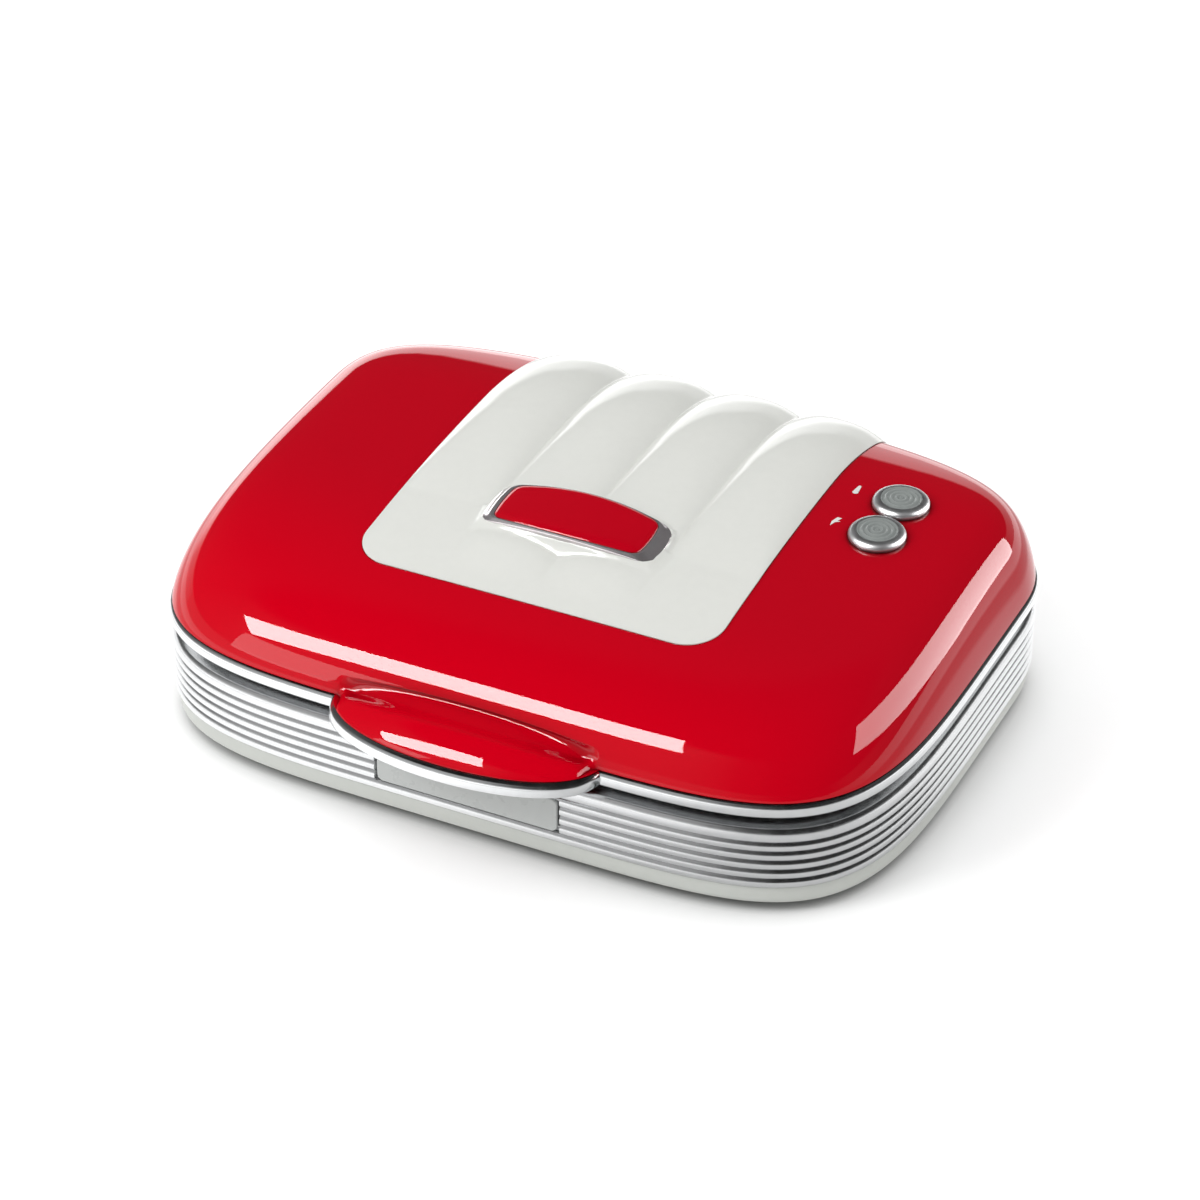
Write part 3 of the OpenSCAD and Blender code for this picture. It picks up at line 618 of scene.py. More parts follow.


# The red is painted lighter at the front and darker at the back as painted light, and darker in hollows as
# painted shade
redPaint = mixFinish("red paint", (202, 0, 24), (183, 5, 26), (0.015, 0.03), grain=60, bump=0.006,
                     specular=0.2, paintedLightFall=(0.15, 1, 0), paintedHollowShade=0.8)
creamGloss = mixFinish("cream gloss", (219, 220, 215), (223, 224, 219), (0.12, 0.14), grain=300, bump=0.01,
                       specular=0.2)
silverTrim = mixFinish("silver trim", (205, 207, 208), (222, 223, 224), (0.14, 0.22), metal=1)
ribSilver = mixFinish("rib silver", (200, 201, 202), (215, 216, 217), (0.18, 0.26), metal=1)
paleCover = mixFinish("pale cover", (196, 199, 193), (204, 206, 201), (0.35, 0.5), bump=0.12)
# The label's own colour is pale; its grey is set lower as painted shade from the lip above it
paleLabel = mixFinish("pale label", (188, 191, 189), (195, 198, 196), (0.25, 0.35), bump=0.02)
blackPlastic = mixFinish("black plastic", (20, 20, 21), (30, 30, 31), (0.4, 0.55), grain=900, bump=0.3,
                         depth=0.1 * mm)
blackRubber = mixFinish("black rubber", (22, 22, 23), (34, 34, 35), (0.6, 0.8), grain=700, bump=0.2)
nonStick = mixFinish("non-stick coating", (38, 38, 40), (54, 54, 56), (0.3, 0.42), grain=1100, bump=0.25,
                     depth=0.06 * mm)
polishedChrome = mixFinish("polished chrome", (196, 190, 192), (212, 206, 208), (0.14, 0.2), metal=0.8,
                           bump=0.01)
satinSteel = mixFinish("satin steel", (166, 166, 167), (180, 180, 181), (0.34, 0.42), metal=1, grain=220)
lensGrey = mixFinish("lens grey", (136, 141, 139), (152, 157, 155), (0.14, 0.2), grain=200, bump=0.02)
palePrint = mixFinish("pale print", (226, 226, 222), (234, 234, 230), (0.3, 0.4), grain=500, bump=0.02)
heaterSteel = mixFinish("heater steel", (96, 92, 88), (128, 124, 120), (0.35, 0.5), metal=1, grain=180)
brightSheet = mixFinish("bright sheet", (196, 198, 200), (212, 213, 215), (0.25, 0.35), metal=1, grain=120)
ceramic = mixFinish("ceramic", (214, 208, 192), (224, 219, 206), (0.6, 0.75), grain=400, bump=0.1)
braidSleeve = mixFinish("braided sleeve", (186, 176, 150), (214, 206, 184), (0.75, 0.9), grain=900,
                        bump=0.6)
lampHolder = mixFinish("lamp holder", (30, 30, 30), (44, 44, 44), (0.45, 0.6), grain=500, bump=0.1)


def makeNeonGlass():
    material, shader = newMaterial("neon glass")
    noise = addNoise(material, 200)
    addVariation(material, shader, noise.outputs["Fac"], "Base Color", srgb(240, 214, 196),
                 srgb(246, 224, 208))
    addVariation(material, shader, noise.outputs["Fac"], "Roughness", 0.04, 0.08)
    shader.inputs["Transmission Weight"].default_value = 0.8
    return material


neonGlass = makeNeonGlass()
print("materials ready")


def placeOnLid(flat):
    return Vector((flat.x, flat.y, lidHeight(flat.x, flat.y)))


cover = {
    "innerShares": (0.35, 0.48, 0.58, 0.66),
    "firstTurn": 3.0,
    "upperRows": 36,
    "upperCrowding": 1.4,  # above 1 the rows crowd towards the scoop
    "lowerRows": 50,
    # the inside, as shares of the way out from the middle and of the wall's thickness
    "inner": ((1, 0), (0.985, 1), (0.95, 1), (0.9, 1), (0.8, 1), (0.6, 1), (0.35, 1)),
}


def wallPoint(root, turn):
    centre = Vector((0, body["middle"]))
    flat = centre + (root - centre) * math.sin(turn) ** (2 / body["edgeRound"])
    rise = lidSwell(flat.x, flat.y) * max(math.cos(turn), 0) ** (2 / body["crownRound"])
    return Vector((flat.x, flat.y, body["edge"] + rise))


# How far down the rounding the scoop starts on this part of the wall
def scoopTurn(root):
    across = min(abs(root.x) / lip["halfWidth"], 1) if root.y < body["middle"] else 1
    rise = lip["rootMiddle"] + (lip["rootEnd"] - lip["rootMiddle"]) * across ** 2
    return math.acos((rise / lidSwell(root.x, root.y)) ** (body["crownRound"] / 2))


def scoopPoint(root, tip, start, share):
    distance = (tip - root).length
    if distance < 0.01 * mm:
        return None
    top = wallPoint(root, start)
    above = top.z - body["edge"]
    corner = above - lip["fillet"]
    crest = lip["crest"] * (1 - min(abs(root.x) / lip["halfWidth"], 1) ** 2)
    low = lip["scoopLow"] * crest
    filletRow, scoopRow, crestRow = lip["rows"]
    if share < filletRow:
        t = share / filletRow
        way = lip["filletWay"] * t * t
        end = low + (corner - low) * (1 - lip["filletWay"] / lip["scoopWay"]) ** 2
        rise = above * (1 - t) ** 2 + corner * 2 * t * (1 - t) + end * t * t
    elif share < scoopRow:
        passed = (share - filletRow) / (scoopRow - filletRow)
        way = lip["filletWay"] + (lip["scoopWay"] - lip["filletWay"]) * passed
        rise = low + (corner - low) * (1 - way / lip["scoopWay"]) ** 2
    elif share < crestRow:
        passed = (share - scoopRow) / (crestRow - scoopRow)
        way = lip["scoopWay"] + (lip["crestWay"] - lip["scoopWay"]) * passed
        rise = low + (crest - low) * ease(way, lip["scoopWay"], lip["crestWay"])
    else:
        turn = (share - crestRow) / (1 - crestRow) * math.pi / 2
        power = 2 / lip["frontSquare"]
        way = lip["crestWay"] + (1 - lip["crestWay"]) * math.sin(turn) ** power
        rise = crest * max(math.cos(turn), 0) ** power
    flat = Vector((top.x, top.y)).lerp(tip, way)
    return Vector((flat.x, flat.y, body["edge"] + rise))


def makeRedCover():
    centre = Vector((0, body["middle"]))
    starts = [scoopTurn(root) for root in lidRoots]
    first = math.radians(cover["firstTurn"])
    rings = []
    for share in cover["innerShares"]:
        rings.append([placeOnLid(centre + (root - centre) * share) for root in lidRoots])
    for k in range(cover["upperRows"]):
        share = 1 - (1 - k / cover["upperRows"]) ** cover["upperCrowding"]
        turns = [first + (start - first) * share for start in starts]
        rings.append([wallPoint(root, turn) for root, turn in zip(lidRoots, turns)])
    for k in range(cover["lowerRows"] + 1):
        share = k / cover["lowerRows"]
        ring = []
        for root, tip, start in zip(lidRoots, lidPath, starts):
            wall = wallPoint(root, start + (math.pi / 2 - start) * share)
            scooped = scoopPoint(root, tip, start, share)
            weight = ease((tip - root).length, 0, lip["blend"]) if k < cover["lowerRows"] else 1
            ring.append(wall if scooped is None else wall.lerp(scooped, weight))
        rings.append(ring)
    inset = 1 - body["wall"] / body["halfWidth"]
    for share, drop in cover["inner"]:
        ring = []
        for root in lidRoots:
            flat = centre + (root - centre) * share
            z = lidHeight(flat.x, flat.y) - body["wall"] * drop
            flat = centre + (flat - centre) * inset
            ring.append(Vector((flat.x, flat.y, max(z, body["edge"]))))
        rings.append(ring)
    print("red cover made")
    return finishPiece(layRings(rings), "red_cover", redPaint, "lid", ["lid_shell"], angle=38)


redCover = makeRedCover()

panel = {
    "halfWidth": 60.5 * mm,
    "front": 53.5 * mm,
    "radius": 12 * mm,
    "flutes": 4,
    "height": 3.8 * mm,
    "proud": 0.35 * mm,
    "thickness": 2.0 * mm,
    "edge": 0.4 * mm,
    "growth": 46 * mm,  # how far behind the badge the flutes reach their full height
    "growthPower": 0.75,
    "crease": 2.3,  # a higher power makes flatter flutes with sharper creases
    "creaseMost": 8,
    "lobe": 0.5,  # height of the soft lobes in front of the badge as a share of the flutes'
    "lobeFromTo": (-48 * mm, -31 * mm),
    "lobeRound": 2.4,
    "lean": 84,  # degrees by which the flutes' rise turns backwards at the rear
    "leanFrom": 0.86,
    "leanTo": 0.992,
    "backCrowding": 1.8,
    "lastReach": 0.9915,
    "columns": 192,
    "cornerRows": 14,
    "topRows": 150,
    "backRows": 36,
}

badge = {
    "y": -16.7 * mm,  # from the body's centre
    "x": -0.9 * mm,
    "halfWidth": 29.8 * mm,
    "halfDepth": 11.7 * mm,
    "bow": 2.5 * mm,
    "endBow": 1.7 * mm,
    "tilt": 5,
    "height": 4.6 * mm,
    "arch": 3.2 * mm,
    "radius": 3.0 * mm,
    "shelf": 1.5 * mm,
    "capWidth": 4.4 * mm,
    "sideWidth": 0.7 * mm,
    "seat": 3.3 * mm,  # height of the cream seat below it
    "seatSlope": 3.6 * mm,
    "seatBackSlope": 1.2 * mm,
    "seatMargin": 0.2 * mm,
    "seatRound": 0.8,
    "sunk": 1.2 * mm,  # how far the surround goes down into the seat
    "capRings": 16,
    "capWave": 0.25 * mm,  # how much the chrome ends rise beside the red face and sink outside
    # end inset, side inset and height, in mm, of the rings that round the red face's edge
    "face": ((0.1, 0, -0.1), (0.2, 0.1, 0.15), (0.5, 0.3, 0.35), (1.2, 0.7, 0.6), (2.4, 1.2, 0.85),
             (4, 1.8, 1.0), (6, 2.6, 1.08), (9, 3.6, 1.12), (13, 5, 1.14)),
}


def fluteHeight(x, y):
    pitch = 2 * panel["halfWidth"] / panel["flutes"]
    place = (x + panel["halfWidth"]) / pitch
    across = abs(2 * (place - math.floor(min(max(place, 0), panel["flutes"] - 0.001))) - 1)
    fromCentre = y - body["centre"]
    grown = min(max((fromCentre - badge["y"]) / panel["growth"], 0.0001), 1) ** panel["growthPower"]
    flute = grown * max(1 - across ** min(panel["crease"] / grown, panel["creaseMost"]), 0)
    # the middle flutes come out again in front of the badge as soft lobes
    lobe = 0
    if abs(x) < pitch and fromCentre < badge["y"]:
        lobe = panel["lobe"] * ease(fromCentre, *panel["lobeFromTo"])
        lobe *= max(1 - across ** panel["lobeRound"], 0)
    return panel["height"] * max(flute, lobe)


# The raised seat that the badge lies on, as a height over the smooth lid
def seatHeight(x, y):
    fromMiddle = y - body["centre"] - badge["y"]
    along = (x - badge["x"]) / badge["halfWidth"]
    base = lidHeight(0, body["centre"] + badge["y"]) + badge["shelf"]
    top = base + fromMiddle * math.tan(math.radians(badge["tilt"])) + badge["seat"]
    top -= badge["arch"] * along ** 2
    depth = badge["halfDepth"] - badge["bow"] * min(along ** 2, 1)
    endShift = badge["endBow"] * min((fromMiddle / badge["halfDepth"]) ** 2, 1)
    away = max(abs(fromMiddle) - depth, abs(x - badge["x"]) - badge["halfWidth"] + endShift)
    slope = badge["seatSlope"] if fromMiddle < 0 else badge["seatBackSlope"]
    away = min(max((away + badge["seatMargin"]) / slope, 0), 1)
    return (top - lidHeight(x, y)) * (1 - away ** badge["seatRound"])


def panelSkin(x, y):
    share = reach(x, y)
    lean = math.radians(panel["lean"]) * ease(share, panel["leanFrom"], panel["leanTo"])
    lift = max(fluteHeight(x, y), seatHeight(x, y)) + panel["proud"]
    z = lidHeight(x, y) + lift * math.cos(lean)
    return Vector((x, y + lift * math.sin(lean), z))


def backLine(x, share):
    square = body["backSquare"]
    inside = share ** square - abs(x / body["halfWidth"]) ** square
    return body["middle"] + body["backDepth"] * inside ** (1 / square)


def makePanel():
    half = panel["halfWidth"]
    rows = panel["cornerRows"] + panel["topRows"] + panel["backRows"]
    frontY = body["centre"] - panel["front"]

    def place(column, row):
        across = 2 * column / panel["columns"] - 1
        if row <= panel["cornerRows"]:
            turn = math.pi / 2 * (1 - row / panel["cornerRows"])
            y = frontY + panel["radius"] * (1 - math.sin(turn))
            return panelSkin(across * (half - panel["radius"] * (1 - math.cos(turn))), y)
        x = across * half
        if row <= panel["cornerRows"] + panel["topRows"]:
            share = (row - panel["cornerRows"]) / panel["topRows"]
            start = frontY + panel["radius"]
            return panelSkin(x, start + (backLine(x, panel["leanFrom"]) - start) * share)
        share = (row - panel["cornerRows"] - panel["topRows"]) / panel["backRows"]
        share = 1 - (1 - share) ** panel["backCrowding"]
        wanted = panel["leanFrom"] + (panel["lastReach"] - panel["leanFrom"]) * share
        return panelSkin(x, backLine(x, wanted))

    bm = layGrid(panel["columns"], rows, place)
    bmesh.ops.recalc_face_normals(bm, faces=bm.faces)
    piece = finishPiece(bm, "fluted_panel", creamGloss, "lid", ["lid_panel"], angle=60)
    wall = piece.modifiers.new("wall", "SOLIDIFY")
    wall.thickness = panel["thickness"]
    wall.offset = -1
    addBevel(piece, panel["edge"], 3, 60)
    print("panel made")
    return piece


flutedPanel = makePanel()


# Square to the lid's smooth surface, with Z outwards
def lidFrame(x, y, lift=0.0, tilt=None):
    step = 1 * mm
    slopeX = (lidHeight(x + step, y) - lidHeight(x - step, y)) / (2 * step)
    slopeY = (lidHeight(x, y + step) - lidHeight(x, y - step)) / (2 * step)
    turn = Matrix.Rotation(math.atan(slopeY), 4, "X") @ Matrix.Rotation(-math.atan(slopeX), 4, "Y")
    if tilt is not None:
        turn = Matrix.Rotation(math.radians(tilt), 4, "X")
    return Matrix.Translation((x, y, lidHeight(x, y) + lift)) @ turn


# An outline of the badge, drawn in from its ends and its long sides
def badgeRing(endInset, sideInset, rise, wave=0):
    wide = badge["halfWidth"] - badge["endBow"] - endInset
    deep = badge["halfDepth"] - badge["bow"] - sideInset
    ring = []
    for p in roundedPath(wide, deep, max(badge["radius"] - sideInset, 1.2 * mm), 200, bow=badge["bow"]):
        bulge = badge["endBow"] * max(1 - (p.y / badge["halfDepth"]) ** 2, 0) * (p.x / wide) ** 2
        x = p.x + math.copysign(bulge, p.x)
        lift = wave * (abs(p.x) / wide) ** 4 - badge["arch"] * (x / badge["halfWidth"]) ** 2
        ring.append(Vector((x, p.y, rise + lift)))
    return ring


def makeBadge():
    place = lidFrame(badge["x"], body["centre"] + badge["y"], badge["shelf"], badge["tilt"])
    top = badge["height"]
    cap = badge["capWidth"]
    side = badge["sideWidth"]
    low = badge["seat"]
    inner = (cap + 0.1 * mm, side + 0.05 * mm)
    rings = [badgeRing(0, 0, low - badge["sunk"])]
    for k in range(badge["capRings"] + 1):
        share = k / badge["capRings"]
        rise = low + (top - low) * math.sqrt(max(1 - (1 - share) ** 2, 0))
        wave = -badge["capWave"] * math.sin(math.tau * share)
        rings.append(badgeRing(cap * share, side * share, rise, wave))
    rings += [badgeRing(*inner, top - 0.5 * mm), badgeRing(*inner, low - badge["sunk"])]
    bm = layRings(rings, closed=True)
    bm.transform(place)
    finishPiece(bm, "badge_surround", polishedChrome, "lid", ["badge_frame"])
    rings = [badgeRing(*inner, low - 1 * mm)]
    for endInset, sideInset, rise in badge["face"]:
        rings.append(badgeRing(cap + endInset * mm, side + sideInset * mm, top + rise * mm - 0.1 * mm))
    bm = layRings(rings, capped=False)
    bmesh.ops.edgeloop_fill(bm, edges=[edge for edge in bm.edges if edge.is_boundary])
    bmesh.ops.triangulate(bm, faces=[face for face in bm.faces if len(face.verts) > 4])
    bmesh.ops.recalc_face_normals(bm, faces=bm.faces)
    bm.transform(place)
    print("badge made")
    return finishPiece(bm, "badge_face", redPaint, "lid", ["badge_plate"])


badgeFace = makeBadge()

lamp = {
    "x": 84.2 * mm,
    "y": 18 * mm,
    "pitch": 19.2 * mm,
    "radius": 9.0 * mm,
    "brim": 0.7 * mm,  # height at which the bezel's rounding starts
    "roundOut": 2.0 * mm,
    "roundUp": 1.9 * mm,
    "lens": 6.4 * mm,
    "lensHeight": 2.75 * mm,
    "lensFall": 0.35 * mm,
    "lensRings": 56,
    "ripple": 0.26 * mm,
    "ripplePitch": 1.6 * mm,
    "printHeight": 0.06 * mm,
}


def makeLamp(name, y):
    place = lidFrame(lamp["x"], y)
    outer = lamp["radius"]
    profile = [(lamp["lens"] - 0.1 * mm, -3 * mm), (outer - 2 * mm, -3 * mm), (outer - 0.5 * mm, -0.2 * mm),
               (outer - 0.1 * mm, 0.25 * mm)]
    profile += arcPoints(outer - lamp["roundOut"], lamp["brim"], lamp["roundOut"], lamp["roundUp"], 0, 90, 9)
    profile += [(lamp["lens"] + 0.3 * mm, 2.78 * mm), (lamp["lens"] + 0.12 * mm, 2.7 * mm),
                (lamp["lens"] + 0.05 * mm, 2.4 * mm), (lamp["lens"] - 0.1 * mm, -3 * mm)]
    bm = turnProfile(profile)
    bm.transform(place)
    bezel = finishPiece(bm, name + "_bezel", satinSteel, "lid", [name + "_lamp_bezel"])
    profile = [(0, 2.55 * mm)]
    for k in range(1, lamp["lensRings"] + 1):
        share = k / lamp["lensRings"]
        ripple = lamp["ripple"] * math.cos(lamp["lens"] * share / lamp["ripplePitch"] * math.tau)
        profile.append((lamp["lens"] * share, lamp["lensHeight"] + ripple - lamp["lensFall"] * share ** 4))
    profile += [(lamp["lens"], 0), (0, 0)]
    bm = turnProfile(profile)
    bm.transform(place)
    finishPiece(bm, name + "_lens", lensGrey, "lid", [name + "_lamp_lens"])
    return bezel


powerBezel = makeLamp("power", body["centre"] + lamp["y"])
readyBezel = makeLamp("ready", body["centre"] + lamp["y"] + lamp["pitch"])
limitLights(paintLights, [redCover, flutedPanel, badgeFace, powerBezel, readyBezel])


# Thin printed shapes beside the lamps, pressed onto the lid
def makePrint(name, outline, x, y):
    bm = bmesh.new()
    verts = [bmesh.ops.create_vert(bm, co=(a * mm, b * mm, 0))["vert"][0] for a, b in outline]
    face = bmesh.ops.contextual_create(bm, geom=verts)["faces"][0]
    raised = bmesh.ops.extrude_face_region(bm, geom=[face])["geom"]
    lifted = [item for item in raised if isinstance(item, bmesh.types.BMVert)]
    bmesh.ops.translate(bm, verts=lifted, vec=(0, 0, lamp["printHeight"]))
    bmesh.ops.recalc_face_normals(bm, faces=bm.faces)
    bm.transform(lidFrame(x, body["centre"] + y, 0.02 * mm))
    finishPiece(bm, name, palePrint, "lid", angle=38)


thermometerOutline = arcPoints(0, 2.1, 0.5, 0.5, 0, 210, 7) + arcPoints(0, -1.4, 1.0, 1.0, 120, 450, 11)
makePrint("thermometer_print", thermometerOutline, 68.8 * mm, 39.1 * mm)
boltOutline = ((-0.3, 2.4), (1.2, 2.4), (0.4, 0.6), (1.4, 0.6), (-0.7, -2.6), (0.0, -0.4), (-1.1, -0.4))
makePrint("bolt_print", boltOutline, 69.6 * mm, 19.9 * mm)
print("lamps made")

trim = {
    "bodyOut": 1.2 * mm,
    "lipOut": 2.1 * mm,
    "lipBlend": 8 * mm,
    "bead": 4.8 * mm,
    "beadRound": 1.6 * mm,
    "beadPower": 0.8,
    "beadRows": 14,
    "inside": 3.0 * mm,
}


def makeTrim():
    low = trimLow.z + 0.05 * mm
    top = trimHigh.z - 0.1 * mm
    half = trim["bead"] / 2
    section = [(-trim["inside"], low)]
    for k in range(trim["beadRows"] + 1):
        turn = math.radians(-90 + k * 180 / trim["beadRows"])
        section.append((-trim["beadRound"] * (1 - abs(math.cos(turn)) ** trim["beadPower"]),
                        low + half + half * math.sin(turn)))
    section += [(-2.2 * mm, top), (-trim["inside"], top)]

    def standOut(p, grow, z):
        if grow <= -trim["inside"]:
            return grow
        beyond = max(bodyFrontY(p.x) - p.y, 0) if abs(p.x) < lip["halfWidth"] else 0
        more = (trim["lipOut"] - trim["bodyOut"]) * ease(beyond, 0, trim["lipBlend"])
        return grow + trim["bodyOut"] + more

    bm = sweepSection(lidPath, section, reshape=standOut)
    finishPiece(bm, "silver_trim", silverTrim, "lid", ["lid_trim"])
    print("trim made")


makeTrim()

ribs = {
    "count": 5,
    "top": baseHigh.z - 7.1 * mm,
    "crest": 0.7 * mm,
    "half": 50,  # degrees of arc on each side of a rib's crest
    "plateHalf": 30.9 * mm,
    "plateLow": 13.2 * mm,
    "plateHigh": 25.7 * mm,
    "plateDepth": 1.9 * mm,
    "shoulder": 2.0 * mm,
    "ledge": 2.2 * mm,  # how far below the top the shoulder turns into the ledge
}

inlet = {
    "x": -38 * mm,
    "z": 18 * mm,
    "bore": 3.6 * mm,
    "body": 5.9 * mm,
    "flange": 7.4 * mm,
    "length": 15 * mm,
    "sunk": 13 * mm,
}


def makeRibbedBase():
    low = baseLow.z
    half = ribs["half"]
    pitch = (ribs["top"] - low) / ribs["count"]
    radius = pitch / 2 / math.sin(math.radians(half))
    middle = ribs["crest"] - radius
    section = []
    for k in range(ribs["count"]):
        section += arcPoints(middle, low + pitch * (k + 0.5), radius, radius, -half, half, 10)
    start = ribs["top"] + pitch / 2
    ledge = baseHigh.z - ribs["ledge"]
    section += arcPoints(middle, start, radius, radius, -half, 0, 6)
    section += arcPoints(ribs["crest"] - ribs["shoulder"], start, ribs["shoulder"], ledge - start, 0, 84, 12)
    section += [(-2.2 * mm, ledge + 0.25 * mm), (-6.0 * mm, baseHigh.z), (-7.0 * mm, baseHigh.z - 0.6 * mm),
                (-6.4 * mm, baseHigh.z - 2 * mm), (-3 * mm, start), (-2.4 * mm, low)]

    def letIn(p, grow, z):
        onFront = p.y < body["middle"] and abs(p.x) < ribs["plateHalf"]
        if onFront and ribs["plateLow"] < z < ribs["plateHigh"]:
            return max(grow - ribs["plateDepth"], -2.2 * mm)
        if p.y > body["middle"] and math.hypot(p.x - inlet["x"], z - inlet["z"]) < inlet["body"]:
            return grow - inlet["sunk"]
        return grow

    bm = sweepSection(wholePath, section, reshape=letIn)
    finishPiece(bm, "ribbed_base", ribSilver, "base", ["base_shell"])
    print("ribbed base made")


makeRibbedBase()


# The rubber ring of the cord inlet, closed at its inner end
def makeBushing():
    flange = inlet["flange"]
    bore = inlet["bore"]
    inner = 1 * mm - inlet["length"]
    profile = [(0, inner), (0, -inlet["length"]), (inlet["body"], -inlet["length"]),
               (inlet["body"], -2.8 * mm), (flange, -2.8 * mm), (flange, -1.1 * mm),
               (flange - 0.25 * mm, -0.5 * mm), (flange - 0.8 * mm, -0.1 * mm), (flange - 1.4 * mm, 0),
               (bore + 0.9 * mm, 0), (bore + 0.3 * mm, -0.2 * mm), (bore, -0.9 * mm), (bore, inner),
               (0, inner)]
    bm = turnProfile(profile, 64)
    place = Matrix.Translation((inlet["x"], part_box("cord_bushing")[1].y, inlet["z"]))
    bm.transform(place @ Matrix.Rotation(math.radians(-90), 4, "X"))
    finishPiece(bm, "soft_bushing", blackRubber, "base", ["cord_bushing"])
    print("cord inlet made")


makeBushing()

bottom = {"bandTop": 9.7 * mm, "roundOut": 2.6 * mm, "roundUp": 2.4 * mm}


def makeBottomCover():
    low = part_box("bottom_cover")[0].z
    rise = bottom["bandTop"]
    out = bottom["roundOut"]
    up = bottom["roundUp"]
    section = [(-2.8 * mm, rise - 1 * mm), (-2.6 * mm, rise - 0.05 * mm), (-0.5 * mm, rise - 0.05 * mm),
               (-0.3 * mm, rise - 0.3 * mm)]
    section += arcPoints(-0.3 * mm - out, low + up, out, -up, 0, 90, 8)
    section += [(-0.3 * mm - out, low), (-12 * mm, low), (-12.8 * mm, low + 0.5 * mm),
                (-16 * mm, low + 0.5 * mm), (-16.8 * mm, low), (-40 * mm, low)]
    bm = sweepSection(wholePath, section, closed=False)
    finishPiece(bm, "bottom_tray", paleCover, "base", ["bottom_cover"])
    print("bottom cover made")


makeBottomCover()

plate = {
    "half": 30.2 * mm,
    "low": 13.6 * mm,
    "high": 25.3 * mm,
    "radius": 1.6 * mm,
    "face": 0.55 * mm,
    "thickness": 1.6 * mm,
    "edge": 0.3 * mm,
}


def makeNameplate():
    columns, rows = 48, 12

    def place(column, row):
        up = plate["low"] + (plate["high"] - plate["low"]) * row / rows
        fromEnd = min(up - plate["low"], plate["high"] - up, plate["radius"])
        inset = plate["radius"] - math.sqrt(plate["radius"] ** 2 - (plate["radius"] - fromEnd) ** 2)
        x = (plate["half"] - inset) * (2 * column / columns - 1)
        return Vector((x, bodyFrontY(x) - plate["face"], up))

    bm = layGrid(columns, rows, place)
    bmesh.ops.recalc_face_normals(bm, faces=bm.faces)
    if sum(face.normal.y for face in bm.faces) > 0:
        bmesh.ops.reverse_faces(bm, faces=bm.faces)
    piece = finishPiece(bm, "blank_nameplate", paleLabel, "base", ["nameplate"], angle=60)
    wall = piece.modifiers.new("wall", "SOLIDIFY")
    wall.thickness = plate["thickness"]
    wall.offset = -1
    addBevel(piece, plate["edge"], 2, 60)
    print("nameplate made")


makeNameplate()

mould = {
    "halfWidth": 101 * mm,
    "halfDepth": 63 * mm,
    "pocketHalfWidth": 44 * mm,
    "pocketHalfDepth": 55 * mm,
    "offset": 49 * mm,
    "pocketRadius": 6 * mm,
    "outerRadius": 1.5 * mm,
    "ringPoints": 200,
    "depth": 10 * mm,
    "studHeight": 7 * mm,
    "studTaper": 1.6 * mm,
    "studRound": 1.3 * mm,
    "studs": (4, 5),
    "gap": 6 * mm,
    "face": 34.4 * mm,
    "clearance": 0.15 * mm,
}


def joinInto(bm, part):
    mesh = bpy.data.meshes.new("part")
    part.to_mesh(mesh)
    part.free()
    bm.from_mesh(mesh)
    bpy.data.meshes.remove(mesh)


# One half of a plate, drawn with its face at zero and its pocket going up
def layPocket(bm, side):
    centre = (side * mould["offset"], 0)
    wide = mould["pocketHalfWidth"]
    deep = mould["pocketHalfDepth"]
    count = mould["ringPoints"]
    rings = []
    for inset, z in ((2.4, 10), (2.0, 9.8), (1.6, 9.3), (0.4, 0.7), (0.15, 0.25), (-0.3, 0)):
        path = roundedPath(wide - inset * mm, deep - inset * mm, mould["pocketRadius"], count, centre=centre)
        rings.append([Vector((*p, z * mm)) for p in path])
    for inset, z in ((0.3, 0), (0, 0.3), (0, 13)):
        half = (mould["halfWidth"] - inset * mm) / 2
        deep = mould["halfDepth"] - inset * mm
        path = roundedPath(half, deep, mould["outerRadius"], count, centre=(side * half, 0))
        rings.append([Vector((*p, z * mm)) for p in path])
    joinInto(bm, layRings(rings))


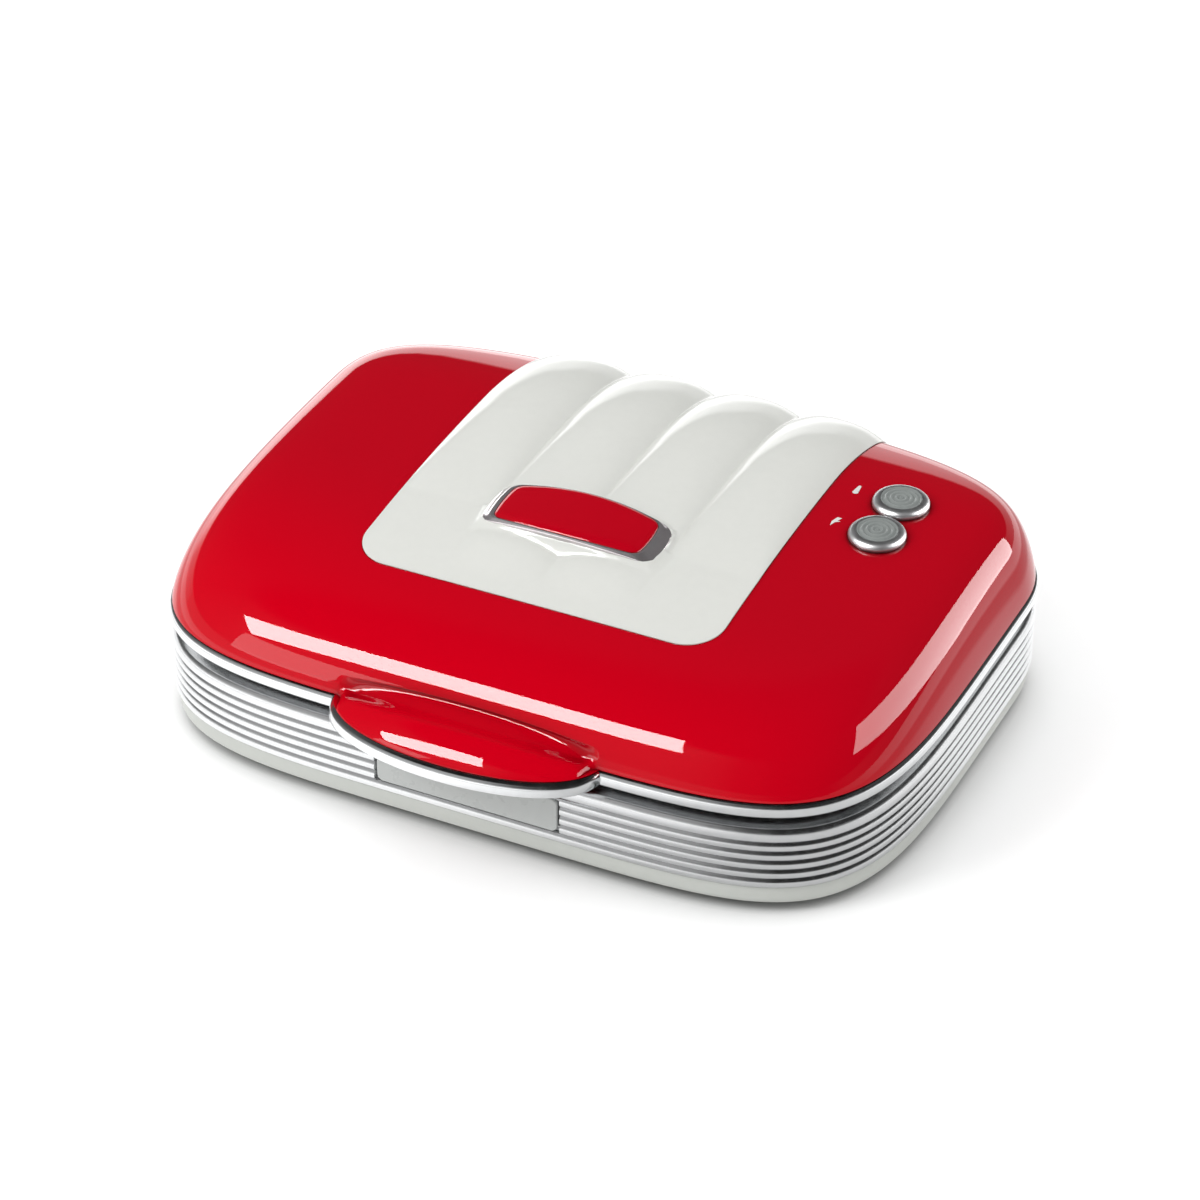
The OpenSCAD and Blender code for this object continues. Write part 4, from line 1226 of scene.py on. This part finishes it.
def layStuds(bm, side):
    across, along = mould["studs"]
    studWidth = (2 * mould["pocketHalfWidth"] - (across + 1) * mould["gap"]) / across
    studDepth = (2 * mould["pocketHalfDepth"] - (along + 1) * mould["gap"]) / along
    for i in range(across):
        for j in range(along):
            x = side * mould["offset"] + (i - (across - 1) / 2) * (studWidth + mould["gap"])
            y = (j - (along - 1) / 2) * (studDepth + mould["gap"])
            part = bmesh.new()
            bmesh.ops.create_cube(part, size=1)
            for vert in part.verts:
                narrow = mould["studTaper"] if vert.co.z < 0 else -0.2 * mm
                vert.co = Vector((math.copysign(studWidth / 2 - narrow, vert.co.x),
                                  math.copysign(studDepth / 2 - narrow, vert.co.y),
                                  mould["depth"] - (mould["studHeight"] if vert.co.z < 0 else -0.3 * mm)))
            bmesh.ops.bevel(part, geom=part.edges[:], offset=mould["studRound"], segments=3, profile=0.5,
                            affect="EDGES", material=-1)
            bmesh.ops.translate(part, verts=part.verts, vec=(x, y, 0))
            joinInto(bm, part)


def makeMouldPlate(name, node, carrier, up):
    bm = bmesh.new()
    for side in (-1, 1):
        layPocket(bm, side)
        layStuds(bm, side)
    place = Matrix.Translation((0, body["centre"], mould["face"] + up * mould["clearance"]))
    bm.transform(place @ Matrix.Scale(up, 4, (0, 0, 1)))
    bmesh.ops.recalc_face_normals(bm, faces=bm.faces)
    finishPiece(bm, name, nonStick, carrier, [node], angle=40)


makeMouldPlate("upper_mould", "upper_plate", "lid", 1)
makeMouldPlate("lower_mould", "lower_plate", "base", -1)
print("plates made")

softenPart("lid_carrier", "lid_inner_frame", blackPlastic, "lid", 0.5 * mm)
softenPart("base_carrier", "base_inner_frame", blackPlastic, "base", 0.4 * mm)
softenPart("rubber_feet", "soft_feet", blackRubber, "base", 1.0 * mm, 3)
softenPart("hinge_pin_left", "left_pin", satinSteel, "base", 0.3 * mm)
softenPart("hinge_pin_right", "right_pin", satinSteel, "base", 0.3 * mm)
print("inner frames and hinges made")

innerFinishes = (
    (heaterSteel, ("upper_element", "lower_element")),
    (brightSheet, ("upper_reflector", "lower_reflector")),
    (ceramic, ("thermostat", "thermal_fuse", "terminal_block")),
    (braidSleeve, ("lid_leads", "base_leads")),
    (satinSteel, ("lid_screws", "upper_plate_screws", "lower_plate_screws", "base_screws")),
    (neonGlass, ("power_neon_lamp", "ready_neon_lamp")),
    (lampHolder, ("lamp_holder",)),
)
for material, nodes in innerFinishes:
    for node in nodes:
        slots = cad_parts[node].data.materials
        slots.clear()
        slots.append(material)
print("inner parts dressed")
